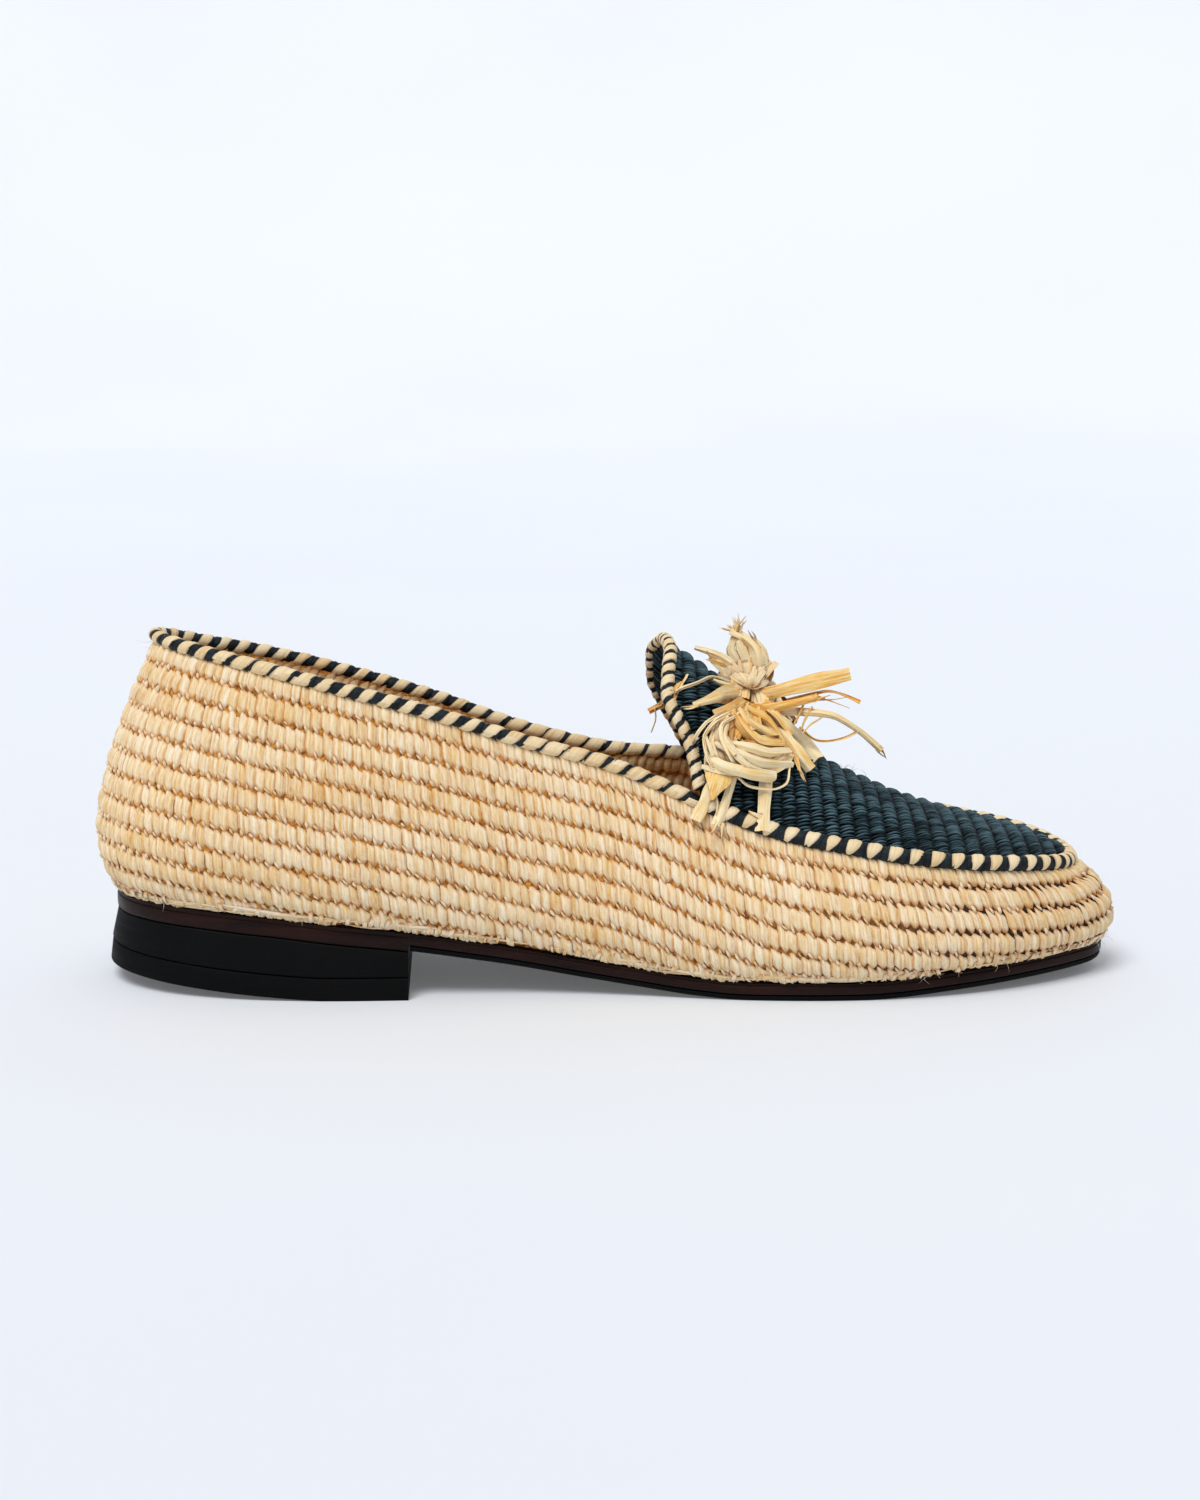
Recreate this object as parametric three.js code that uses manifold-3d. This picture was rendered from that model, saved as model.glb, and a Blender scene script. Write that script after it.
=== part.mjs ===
// A loafer of raffia crochet for the left foot, with a dark woven plug and a raffia pompom.
// Millimetres, +Z up, toe towards +X, outer side of the foot towards +Y.
import * as THREE from "three";
import { mergeVertices } from "three/addons/utils/BufferGeometryUtils.js";
import Module from "manifold-3d";

// Last: lengths, widths and heights that the sections below are shares of
const shoeLength = 264;
const ballWidth = 80; // sole, across the ball
const heelWidth = 61; // sole, across the heel seat
const backHeight = 65; // collar at the heel back, above the sole
const throatHeight = 44.6; // throat corners, above the sole
const toeHeight = 21.6; // apron seam at the toe, above the sole
const instepHeight = 77; // crest of the plug over the throat corners, above the sole
const tongueSweep = 12.4; // how far the free edge of the plug stands behind the throat corners
const archPower = 2.3; // roundness of the plug across the foot

// Wall of the upper: how far its two inner handles stand outside the sole edge
const heelBelly = 12;
const sideBelly = 8.5;
const toeBelly = 7;
const sideShoulder = 2;
const toeShoulder = 3.5;
const bellyRise = 0.18; // height of the lower handle, as a share of the wall's height
const shoulderRise = { heel: 0.58, side: 0.62, toe: 0.77 }; // and of the upper handle

// Stretches of the length, as shares of it, over which a value changes
const heelZone = [0.02, 0.25];
const waistZone = [0.3, 0.62];
const toeZone = [0.85, 0.99];

// Thicknesses and clearances
const wallThickness = 2.2;
const plugThickness = 2.2;
const bindingWidth = 3.4; // cord round the collar, the tongue and the apron seam
const seamWidth = 3.8;
const soleThickness = 4.4;
const outsoleThickness = 1.3;
const insoleThickness = 2.4;
const footInset = 0.8; // wall foot, inside the sole edge
const insoleInset = 3.5; // insole, inside the sole edge
const insoleBevel = 0.4;
const clearance = 0.3;
const plugClearance = 0.55; // from the middle lines of its cords, whose facets lie off them

// Heel and toe of the sole
const heelRise = 18.8; // underside of the sole at the heel back, above the ground
const toeSpring = 3.4;
const breastAt = 80.5; // front face of the heel
const topPieceThickness = 5.6;
const heelLift = 4.4; // rear edge of the top piece, above the ground
const heelFlat = 22; // length of the top piece that lies flat behind the breast
const heelFlare = 2; // how far the top piece stands behind and beside the heel seat
const outsoleBevel = 0.5;
const outsoleInset = 0.3;
const edgeRounding = 0.3; // lower edge of the midsole
const featherInset = 0.5; // top of the midsole, inside its edge
const liftFlare = 0.7; // share of the heel flare at the foot of the lifts
const liftInset = 0.2; // top of the lifts, inside the sole edge
const treadCurve = 1.15; // power of the top piece's rise to the rear
const stepRun = 0.2; // length of the step in the sole's underside at the breast

// Pompom
const knotForward = 14.1; // knot in front of the throat corners
const knotHeight = 5.5; // middle of the knot, above the crest of the plug
const knotRadius = 5;
const tuftLength = 24; // reach of the longest side clusters
const stripThickness = 1.1;
const stripWidth = 4;
const tuftFlattening = 0.4; // of a tuft, across the plug's face

// A row for each section of the upper, from the heel back to the tip of the toe.
// The At columns are shares of the length, the In and Out columns shares of the local width
// on the medial and the lateral side, and the rise columns shares of the local height. The row
// of the throat corners is marked.
const sections = [
  { footAt: 0.019, footIn: 0.0, footOut: 0.0, rimAt: 0.062, rimIn: 0.0, rimOut: 0.0, riseIn: 1.012, riseOut: 1.012 },
  { footAt: 0.03, footIn: 0.197, footOut: 0.197, rimAt: 0.076, rimIn: 0.139, rimOut: 0.143, riseIn: 1.018, riseOut: 0.997 },
  { footAt: 0.066, footIn: 0.352, footOut: 0.352, rimAt: 0.11, rimIn: 0.246, rimOut: 0.251, riseIn: 1.02, riseOut: 0.982 },
  { footAt: 0.129, footIn: 0.459, footOut: 0.462, rimAt: 0.159, rimIn: 0.333, rimOut: 0.336, riseIn: 1.026, riseOut: 0.977 },
  { footAt: 0.22, footIn: 0.503, footOut: 0.508, rimAt: 0.235, rimIn: 0.384, rimOut: 0.384, riseIn: 1.031, riseOut: 0.972 },
  { footAt: 0.322, footIn: 0.496, footOut: 0.516, rimAt: 0.326, rimIn: 0.401, rimOut: 0.404, riseIn: 1.034, riseOut: 0.952 },
  { footAt: 0.424, footIn: 0.435, footOut: 0.484, rimAt: 0.42, rimIn: 0.376, rimOut: 0.377, riseIn: 1.038, riseOut: 0.925 },
  { footAt: 0.511, footIn: 0.412, footOut: 0.478, rimAt: 0.504, rimIn: 0.351, rimOut: 0.358, riseIn: 1.061, riseOut: 0.95 },
  { footAt: 0.587, footIn: 0.428, footOut: 0.498, rimAt: 0.585, rimIn: 0.357, rimOut: 0.367, riseIn: 0.994, riseOut: 1.021, corner: true },
  { footAt: 0.652, footIn: 0.453, footOut: 0.529, rimAt: 0.652, rimIn: 0.376, rimOut: 0.392, riseIn: 0.945, riseOut: 0.96 },
  { footAt: 0.72, footIn: 0.46, footOut: 0.54, rimAt: 0.72, rimIn: 0.398, rimOut: 0.422, riseIn: 0.95, riseOut: 0.965 },
  { footAt: 0.788, footIn: 0.438, footOut: 0.512, rimAt: 0.788, rimIn: 0.391, rimOut: 0.415, riseIn: 0.957, riseOut: 0.975 },
  { footAt: 0.852, footIn: 0.383, footOut: 0.438, rimAt: 0.85, rimIn: 0.35, rimOut: 0.38, riseIn: 0.97, riseOut: 0.99 },
  { footAt: 0.909, footIn: 0.297, footOut: 0.325, rimAt: 0.899, rimIn: 0.279, rimOut: 0.305, riseIn: 1.0, riseOut: 1.015 },
  { footAt: 0.949, footIn: 0.209, footOut: 0.215, rimAt: 0.931, rimIn: 0.188, rimOut: 0.21, riseIn: 1.005, riseOut: 1.015 },
  { footAt: 0.977, footIn: 0.118, footOut: 0.108, rimAt: 0.947, rimIn: 0.1, rimOut: 0.12, riseIn: 1.0, riseOut: 1.005 },
  { footAt: 0.987, footIn: 0.008, footOut: -0.008, rimAt: 0.953, rimIn: -0.01, rimOut: 0.01, riseIn: 0.995, riseOut: 0.995 },
];
const throatSection = sections.findIndex((row) => row.corner);
const toeSection = sections.length - 1;

// Underside of the sole: heel as a share of the heel rise, toe as a share of the toe spring
const soleProfile = [
  { at: 0, heel: 1, toe: 0 },
  { at: 0.085, heel: 0.952, toe: 0 },
  { at: 0.17, heel: 0.862, toe: 0 },
  { at: 0.235, heel: 0.755, toe: 0 },
  { at: 0.295, heel: 0.665, toe: 0 },
  { at: 0.386, heel: 0.47, toe: 0 },
  { at: 0.473, heel: 0.255, toe: 0 },
  { at: 0.538, heel: 0.117, toe: 0 },
  { at: 0.58, heel: 0.043, toe: 0 },
  { at: 0.625, heel: 0, toe: 0 },
  { at: 0.74, heel: 0, toe: 0 },
  { at: 0.77, heel: 0, toe: 0.09 },
  { at: 0.82, heel: 0, toe: 0.38 },
  { at: 0.87, heel: 0, toe: 0.62 },
  { at: 0.925, heel: 0, toe: 0.83 },
  { at: 1, heel: 0, toe: 1 },
];

// Crest of the plug above the sole, as a share of the instep height
const plugCrest = [
  { at: 0.53, crest: 1.095 },
  { at: 0.558, crest: 1.035 },
  { at: 0.585, crest: 0.985 },
  { at: 0.614, crest: 0.915 },
  { at: 0.652, crest: 0.804 },
  { at: 0.682, crest: 0.722 },
  { at: 0.72, crest: 0.632 },
  { at: 0.754, crest: 0.573 },
  { at: 0.788, crest: 0.513 },
  { at: 0.822, crest: 0.462 },
  { at: 0.852, crest: 0.428 },
  { at: 0.886, crest: 0.394 },
  { at: 0.909, crest: 0.37 },
  { at: 0.934, crest: 0.337 },
  { at: 0.953, crest: 0.3 },
];

// Free edge of the tongue, from the medial to the lateral throat corner: across is the share of
// the half width there, and back the share of the tongue sweep
const tongueEdge = [
  { across: -1, back: 0 },
  { across: -0.78, back: 0.23 },
  { across: -0.69, back: 0.47 },
  { across: -0.6, back: 0.66 },
  { across: -0.45, back: 0.63 },
  { across: -0.2, back: 0.56 },
  { across: 0, back: 0.6 },
  { across: 0.3, back: 0.7 },
  { across: 0.51, back: 0.86 },
  { across: 0.67, back: 0.83 },
  { across: 0.78, back: 0.6 },
  { across: 0.88, back: 0.27 },
  { across: 1, back: 0 },
];

// Strips of the pompom: turn from the toe towards the lateral side and lift, in degrees, reach and
// droop as shares of the tuft length, and width as a share of the strip width
const pompomStrips = [
  { turn: -8, lift: 8, reach: 1.1, droop: 0, width: 1 },
  { turn: 4, lift: 2, reach: 1.35, droop: 0.55, width: 0.5 },
  { turn: 22, lift: 14, reach: 1.0, droop: 0.2, width: 0.7 },
  { turn: -30, lift: 0, reach: 0.95, droop: 0.3, width: 1 },
  { turn: 150, lift: 70, reach: 0.65, droop: 0, width: 1 },
  { turn: -100, lift: 66, reach: 0.5, droop: 0, width: 0.8 },
  { turn: 60, lift: 62, reach: 0.5, droop: 0, width: 0.8 },
  { turn: -124, lift: 36, reach: 0.95, droop: 0.4, width: 0.5 },
  { turn: -112, lift: 26, reach: 0.8, droop: 0.2, width: 1 },
  { turn: -88, lift: 8, reach: 0.95, droop: 0.45, width: 1 },
  { turn: -62, lift: -15, reach: 0.9, droop: 0.35, width: 0.8 },
  { turn: -110, lift: -8, reach: 1.05, droop: 0.42, width: 0.8 },
  { turn: 62, lift: -15, reach: 0.95, droop: 0.35, width: 0.8 },
  { turn: 88, lift: 8, reach: 0.95, droop: 0.45, width: 1 },
  { turn: 110, lift: -8, reach: 1.05, droop: 0.42, width: 0.8 },
  { turn: 120, lift: 36, reach: 0.85, droop: 0.3, width: 0.5 },
];

// Body of the pompom, a saddle of tufts over the crest: across the plug, height over its face and
// size as shares of the tuft length
const pompomTufts = [
  { across: -0.74, over: 0.1, size: 0.4 },
  { across: -0.48, over: 0.14, size: 0.46 },
  { across: -0.25, over: 0.14, size: 0.36 },
  { across: 0, over: 0.14, size: 0.3 },
  { across: 0.3, over: 0.16, size: 0.38 },
  { across: 0.5, over: 0.12, size: 0.4 },
  { across: 0.7, over: 0.1, size: 0.34 },
];

// Numbers of facets
const wallSteps = 76; // round the shoe
const wallRises = 6; // up the wall
const plugSteps = 20; // along the plug
const tongueSteps = 4;
const plugStrips = 14; // across the plug
const collarSteps = 64;
const seamSteps = 56;
const tongueCordSteps = 30;
const midsoleSteps = 44;
const soleSteps = 34; // outsole and insole
const heelSteps = 22;
const stripSteps = 6;
const ballFacets = [14, 10];
const cordSides = 8;

// Numbers of points on the lines that clearances are measured from
const outlineSamples = 240;
const lineSamples = 160;
const searchSteps = 16;

const up = new THREE.Vector3(0, 0, 1);

function mix(a, b, share) {
  return a + (b - a) * share;
}

function clamp01(value) {
  return Math.min(1, Math.max(0, value));
}

function smooth(from, to, value) {
  const share = clamp01((value - from) / (to - from));
  return share * share * (3 - 2 * share);
}

// Monotone cubic through one column of a table
function column(table, key, name, value) {
  const last = table.length - 1;
  const x = Math.min(Math.max(value, table[0][key]), table[last][key]);
  const slope = (i) => (table[i + 1][name] - table[i][name]) / (table[i + 1][key] - table[i][key]);
  const tangent = (i) => {
    if (i === 0) return slope(0);
    if (i === last) return slope(last - 1);
    const before = slope(i - 1);
    const after = slope(i);
    return before * after <= 0 ? 0 : (2 * before * after) / (before + after);
  };
  let i = 0;
  while (i < last - 1 && x > table[i + 1][key]) i += 1;
  const span = table[i + 1][key] - table[i][key];
  const t = (x - table[i][key]) / span;
  const h01 = t * t * (3 - 2 * t);
  return (
    (1 - h01) * table[i][name] +
    h01 * table[i + 1][name] +
    span * (t * (1 - t) * (1 - t) * tangent(i) - t * t * (1 - t) * tangent(i + 1))
  );
}

// Sole heights above the ground at a length along the shoe
function underside(x) {
  const at = x / shoeLength;
  return heelRise * column(soleProfile, "at", "heel", at) + toeSpring * column(soleProfile, "at", "toe", at);
}

function soleTop(x) {
  return underside(x) + soleThickness;
}

function localWidth(at) {
  return mix(heelWidth, ballWidth, smooth(...waistZone, at));
}

function localRise(at) {
  const throatAt = sections[throatSection].rimAt;
  const toeAt = sections[toeSection].rimAt;
  if (at < throatAt) return mix(backHeight, throatHeight, clamp01((at - sections[0].rimAt) / (throatAt - sections[0].rimAt)));
  return mix(throatHeight, toeHeight, clamp01((at - throatAt) / (toeAt - throatAt)));
}

// Value that changes from the heel to the sides and from the sides to the toe
function alongShoe(at, heel, side, toe) {
  return mix(mix(heel, side, smooth(...heelZone, at)), toe, smooth(...toeZone, at));
}

// Closed curves round the shoe: medial side from heel to toe, then the lateral side back
function loopRows() {
  const medial = sections.map((row) => ({ ...row, side: -1 }));
  const lateral = sections.slice(1, -1).reverse().map((row) => ({ ...row, side: 1 }));
  return [...medial, ...lateral];
}

const loop = loopRows();

function closedCurve(points) {
  return new THREE.CatmullRomCurve3(points, true, "centripetal");
}

function edgePoint(row) {
  const y = row.side * (row.side < 0 ? row.footIn : row.footOut) * localWidth(row.footAt);
  return new THREE.Vector3(row.footAt * shoeLength, y, soleTop(row.footAt * shoeLength));
}

function rimPoint(row) {
  const y = row.side * (row.side < 0 ? row.rimIn : row.rimOut) * localWidth(row.rimAt);
  const rise = (row.side < 0 ? row.riseIn : row.riseOut) * localRise(row.rimAt);
  return new THREE.Vector3(row.rimAt * shoeLength, y, soleTop(row.rimAt * shoeLength) + rise);
}

const soleEdge = closedCurve(loop.map(edgePoint));
const rim = closedCurve(loop.map(rimPoint));

// Level direction away from the shoe at a turn round it, from 0 at the heel back to 1
function outward(turn) {
  const along = soleEdge.getTangent(turn);
  return new THREE.Vector3(along.y, -along.x, 0).normalize();
}

function footPoint(turn) {
  const point = soleEdge.getPoint(turn).addScaledVector(outward(turn), -footInset);
  point.z = soleTop(point.x) + clearance;
  return point;
}

// Outside of the wall, from the foot at share 0 to the rim at share 1
function wallCurve(turn) {
  const foot = footPoint(turn);
  const top = rim.getPoint(turn);
  const height = top.z - foot.z;
  const at = foot.x / shoeLength;
  const out = outward(turn);
  const belly = alongShoe(at, heelBelly, sideBelly, toeBelly);
  const shoulder = alongShoe(at, sideShoulder, sideShoulder, toeShoulder);
  const low = foot.clone().addScaledVector(out, belly).addScaledVector(up, bellyRise * height);
  const high = foot.clone().addScaledVector(out, shoulder);
  const share = alongShoe(at, shoulderRise.heel, shoulderRise.side, shoulderRise.toe);
  high.addScaledVector(up, share * height);
  return new THREE.CubicBezierCurve3(foot, low, high, top);
}

// The wall stops short of the rim curve by half a cord and a clearance
function wallPoint(turn, share, cordWidth) {
  const curve = wallCurve(turn);
  const stop = (cordWidth / 2 + clearance) / curve.getLength();
  return curve.getPoint(share * (1 - stop));
}

const throatTurnIn = throatSection / loop.length;
const throatTurnOut = 1 - throatTurnIn;

function isSeam(turn) {
  return turn > throatTurnIn && turn < throatTurnOut;
}

// Solids from rings of points: each ring is closed, and neighbouring rings are joined by facets
function ringSolid(rings, closed) {
  const count = rings[0].length;
  const positions = rings.flat().flatMap((point) => [point.x, point.y, point.z]);
  const index = [];
  const spans = closed ? rings.length : rings.length - 1;
  for (let i = 0; i < spans; i += 1) {
    const next = (i + 1) % rings.length;
    for (let j = 0; j < count; j += 1) {
      const k = (j + 1) % count;
      const [a, b, c, d] = [i * count + j, i * count + k, next * count + k, next * count + j];
      index.push(a, b, c, a, c, d);
    }
  }
  if (!closed) {
    const end = (rings.length - 1) * count;
    for (let j = 1; j < count - 1; j += 1) {
      index.push(0, j + 1, j, end, end + j, end + j + 1);
    }
  }
  return closedGeometry(positions, index);
}

// Shared vertices merged, collapsed facets dropped and faces turned outwards
function closedGeometry(positions, index) {
  const raw = new THREE.BufferGeometry();
  raw.setAttribute("position", new THREE.Float32BufferAttribute(positions, 3));
  raw.setIndex(index);
  const merged = mergeVertices(raw, 1e-4);
  const source = merged.getIndex().array;
  const kept = [];
  for (let i = 0; i < source.length; i += 3) {
    const [a, b, c] = [source[i], source[i + 1], source[i + 2]];
    if (a !== b && b !== c && c !== a) kept.push(a, b, c);
  }
  if (signedVolume(merged.getAttribute("position"), kept) < 0) kept.reverse();
  merged.setIndex(kept);
  merged.computeVertexNormals();
  return merged;
}

function signedVolume(position, index) {
  const [a, b, c] = [new THREE.Vector3(), new THREE.Vector3(), new THREE.Vector3()];
  let volume = 0;
  for (let i = 0; i < index.length; i += 3) {
    a.fromBufferAttribute(position, index[i]);
    b.fromBufferAttribute(position, index[i + 1]);
    c.fromBufferAttribute(position, index[i + 2]);
    volume += a.dot(b.cross(c)) / 6;
  }
  return volume;
}

// Upper: one wall round the whole foot, open at the collar, the plug and the sole
function wallNormal(turn, share, cordWidth) {
  const step = 0.004;
  const along = wallPoint(turn + step, share, cordWidth).sub(wallPoint(turn - step, share, cordWidth));
  const low = Math.max(0, share - step);
  const high = Math.min(1, share + step);
  const rise = wallPoint(turn, high, cordWidth).sub(wallPoint(turn, low, cordWidth));
  return along.cross(rise).normalize();
}

function wallSection(turn) {
  const wrapped = ((turn % 1) + 1) % 1;
  const cordWidth = isSeam(wrapped) ? seamWidth : bindingWidth;
  const outer = [];
  const inner = [];
  for (let i = 0; i <= wallRises; i += 1) {
    const share = i / wallRises;
    const point = wallPoint(turn, share, cordWidth);
    outer.push(point);
    const inside = point.clone().addScaledVector(wallNormal(turn, share, cordWidth), -wallThickness);
    if (i === 0) inside.z = point.z;
    inner.push(inside);
  }
  return [...outer, ...inner.reverse()];
}

function upperGeometry() {
  const rings = [];
  for (let i = 0; i < wallSteps; i += 1) rings.push(wallSection(i / wallSteps));
  return ringSolid(rings, true);
}

// Plug: across runs from -1 at the medial edge to 1 at the lateral edge. Behind the throat
// corners it stands free as the tongue.
function plugPoint(turn, across, back) {
  const medial = rim.getPoint(turn);
  const lateral = rim.getPoint(1 - turn);
  const point = medial.clone().lerp(lateral, (across + 1) / 2);
  point.x -= back;
  const middle = (medial.x + lateral.x) / 2 - back;
  const base = (medial.z + lateral.z) / 2;
  const crest = soleTop(middle) + instepHeight * column(plugCrest, "at", "crest", middle / shoeLength);
  point.z += Math.max(0, crest - base) * (1 - Math.abs(across) ** archPower);
  return point;
}

function plugNormal(turn, across, back) {
  const step = 0.01;
  const slide = 0.5;
  const side = plugPoint(turn, across + step, back).sub(plugPoint(turn, across - step, back));
  const forward = plugPoint(turn, across, back - slide).sub(plugPoint(turn, across, back + slide));
  return forward.cross(side).normalize();
}

function plugTurn(share) {
  return mix(throatTurnIn, 0.5, share);
}

// Free edge of the tongue, behind the throat corners
function tongueBack(across) {
  return tongueSweep * column(tongueEdge, "across", "back", across);
}

function tonguePath(reach, steps) {
  const points = [];
  for (let i = 0; i <= steps; i += 1) {
    const across = reach * Math.sin(((i / steps) * 2 - 1) * (Math.PI / 2));
    points.push(plugPoint(throatTurnIn, across, tongueBack(across)));
  }
  return points;
}

function rimPath(from, to, steps) {
  const points = [];
  for (let i = 0; i <= steps; i += 1) points.push(rim.getPoint(mix(from, to, i / steps) % 1));
  return points;
}

function distanceTo(path, point) {
  const nearest = new THREE.Vector3();
  const line = new THREE.Line3();
  let least = Infinity;
  for (let i = 1; i < path.length; i += 1) {
    line.set(path[i - 1], path[i]).closestPointToPoint(point, true, nearest);
    least = Math.min(least, nearest.distanceTo(point));
  }
  return least;
}

// Largest value up to a limit that still passes a test which holds at 0
function largest(limit, holds) {
  if (holds(limit)) return limit;
  let [low, high] = [0, limit];
  for (let i = 0; i < searchSteps; i += 1) {
    const middle = (low + high) / 2;
    if (holds(middle)) low = middle;
    else high = middle;
  }
  return low;
}

// The plug ends a clearance inside the cords along its edges
const seamLine = rimPath(throatTurnIn, throatTurnOut, lineSamples);
const tongueLine = tonguePath(1, lineSamples);

function plugFace(turn, across, back, lift) {
  return plugPoint(turn, across, back).addScaledVector(plugNormal(turn, across, back), lift);
}

// Both faces of the plug stay clear of a cord
function clearsCord(line, width, turn, across, back) {
  const room = width / 2 + plugClearance;
  return [0, -plugThickness].every((lift) => distanceTo(line, plugFace(turn, across, back, lift)) > room);
}

function plugReach(turn, side) {
  return largest(1, (share) => {
    const across = side * share;
    return clearsCord(seamLine, seamWidth, turn, across, 0) &&
      clearsCord(tongueLine, bindingWidth, turn, across, 0);
  });
}

function plugRows() {
  const lastShare = largest(1, (share) => clearsCord(seamLine, seamWidth, plugTurn(share), 0, 0));
  const rows = [];
  for (let i = 0; i < tongueSteps; i += 1) rows.push({ turn: throatTurnIn, free: 1 - i / tongueSteps });
  for (let i = 0; i <= plugSteps; i += 1) rows.push({ turn: plugTurn((lastShare * i) / plugSteps), free: 0 });
  return rows.map((row) => ({ ...row, medial: plugReach(row.turn, -1), lateral: plugReach(row.turn, 1) }));
}

const plugLayout = plugRows();

function plugGrid(lift) {
  return plugLayout.map((row) => {
    const points = [];
    for (let j = 0; j <= plugStrips; j += 1) {
      const lean = Math.sin(((j / plugStrips) * 2 - 1) * (Math.PI / 2));
      const across = lean * (lean < 0 ? row.medial : row.lateral);
      const stop = (back) => clearsCord(tongueLine, bindingWidth, row.turn, across, back);
      const back = row.free === 0 ? 0 : row.free * largest(tongueBack(across), stop);
      points.push(plugFace(row.turn, across, back, lift));
    }
    return points;
  });
}

function sheetGeometry(outer, inner) {
  const rings = outer.map((row, i) => [...row, ...[...inner[i]].reverse()]);
  const count = rings[0].length;
  const positions = rings.flat().flatMap((point) => [point.x, point.y, point.z]);
  const index = [];
  for (let i = 0; i < rings.length - 1; i += 1) {
    for (let j = 0; j < count; j += 1) {
      const k = (j + 1) % count;
      const [a, b, c, d] = [i * count + j, i * count + k, (i + 1) * count + k, (i + 1) * count + j];
      index.push(a, b, c, a, c, d);
    }
  }
  const end = (rings.length - 1) * count;
  for (let j = 0; j < count / 2 - 1; j += 1) {
    const [a, b, c, d] = [j, j + 1, count - 2 - j, count - 1 - j];
    index.push(a, c, b, a, d, c);
    index.push(end + a, end + b, end + c, end + a, end + c, end + d);
  }
  return closedGeometry(positions, index);
}

function plugGeometry() {
  return sheetGeometry(plugGrid(0), plugGrid(-plugThickness));
}

// Cords: round sections along a smooth path
function cordGeometry(points, width, steps) {
  const section = new THREE.Shape();
  section.absarc(0, 0, width / 2, 0, Math.PI * 2, false);
  const path = new THREE.CatmullRomCurve3(points, false, "centripetal");
  const options = { steps, extrudePath: path, curveSegments: cordSides / 2, bevelEnabled: false };
  const tube = new THREE.ExtrudeGeometry(section, options);
  const position = tube.getAttribute("position");
  const index = tube.getIndex() ? [...tube.getIndex().array] : [...Array(position.count).keys()];
  return closedGeometry([...position.array], index);
}

// Turn that lies a distance along the rim from a throat corner
function turnPast(turn, distance) {
  const step = 0.001;
  const pace = rim.getPoint(turn + step).distanceTo(rim.getPoint(turn - step)) / (2 * step);
  return turn + distance / pace;
}

function collarBindingGeometry() {
  const start = turnPast(throatTurnOut, clearance);
  const end = turnPast(throatTurnIn, -clearance) + 1;
  return cordGeometry(rimPath(start, end, collarSteps), bindingWidth, collarSteps);
}

function apronSeamGeometry(width = seamWidth) {
  const start = turnPast(throatTurnIn, clearance);
  const end = turnPast(throatTurnOut, -clearance);
  return cordGeometry(rimPath(start, end, seamSteps), width, seamSteps);
}

// The tongue binding starts clear of the cords that meet at the throat corners
function tongueBindingGeometry() {
  const room = (bindingWidth + seamWidth) / 2 + clearance;
  const wholeRim = rimPath(0, 1, 2 * lineSamples);
  const reach = largest(1, (across) => [-1, 1].every((side) => {
    const point = plugPoint(throatTurnIn, side * across, tongueBack(side * across));
    return distanceTo(wholeRim, point) > room;
  }));
  return cordGeometry(tonguePath(reach, tongueCordSteps), bindingWidth, tongueCordSteps);
}

// Outlines of the sole and insole, inside the sole edge by an inset
function outlineSides(inset) {
  const sides = { medial: [], lateral: [] };
  for (let i = 0; i <= outlineSamples; i += 1) {
    const share = (0.5 * i) / outlineSamples;
    const lateralShare = 1 - share;
    sides.medial.push(soleEdge.getPoint(share).addScaledVector(outward(share), -inset));
    const lateralTurn = lateralShare === 1 ? 0 : lateralShare;
    sides.lateral.push(soleEdge.getPoint(lateralTurn).addScaledVector(outward(lateralTurn), -inset));
  }
  return sides;
}

function acrossAt(points, x) {
  for (let i = 1; i < points.length; i += 1) {
    if (points[i].x >= x) {
      const share = (x - points[i - 1].x) / (points[i].x - points[i - 1].x || 1);
      return mix(points[i - 1].y, points[i].y, clamp01(share));
    }
  }
  return points[points.length - 1].y;
}

// A layer of the sole: profile rows go from its underside to its top, each with an inset from
// the sole edge, and height gives the level of a row at a length along the shoe. A layer that
// is cut across has a from or a to.
function layerGeometry({ profile, height, steps, from = null, to = null, step = null }) {
  const ease = (share) => {
    if (from !== null) return Math.sin((share * Math.PI) / 2);
    if (to !== null) return 1 - Math.cos((share * Math.PI) / 2);
    return (1 - Math.cos(share * Math.PI)) / 2;
  };
  const levels = profile.map((row) => {
    const sides = outlineSides(row.inset);
    const rear = from === null ? sides.medial[0].x : from;
    const front = to === null ? sides.medial[outlineSamples].x : to;
    const stations = [];
    for (let i = 0; i <= steps; i += 1) stations.push(mix(rear, front, ease(i / steps)));
    if (step !== null) stations.push(step, step + stepRun);
    return { ...row, sides, stations: stations.sort((a, b) => a - b) };
  });
  const rings = levels[0].stations.map((_, i) => {
    const place = (side) => levels.map((level) => {
      const x = level.stations[i];
      return new THREE.Vector3(x, acrossAt(level.sides[side], x), height(x, level.share));
    });
    return [...place("medial"), ...place("lateral").reverse()];
  });
  return ringSolid(rings, false);
}

// Under the heel the leather of the sole is as thick as sole and outsole together
const midsoleThickness = soleThickness - outsoleThickness - clearance;

function midsoleGeometry() {
  const bottom = (x) => (x <= breastAt ? soleTop(x) - soleThickness : soleTop(x) - midsoleThickness);
  const profile = [
    { share: 0, inset: edgeRounding },
    { share: 0.2, inset: 0 },
    { share: 0.75, inset: 0 },
    { share: 0.8, inset: featherInset },
    { share: 1, inset: featherInset },
  ];
  const height = (x, share) => mix(bottom(x), soleTop(x), share);
  return layerGeometry({ profile, height, steps: midsoleSteps, step: breastAt });
}

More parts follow.
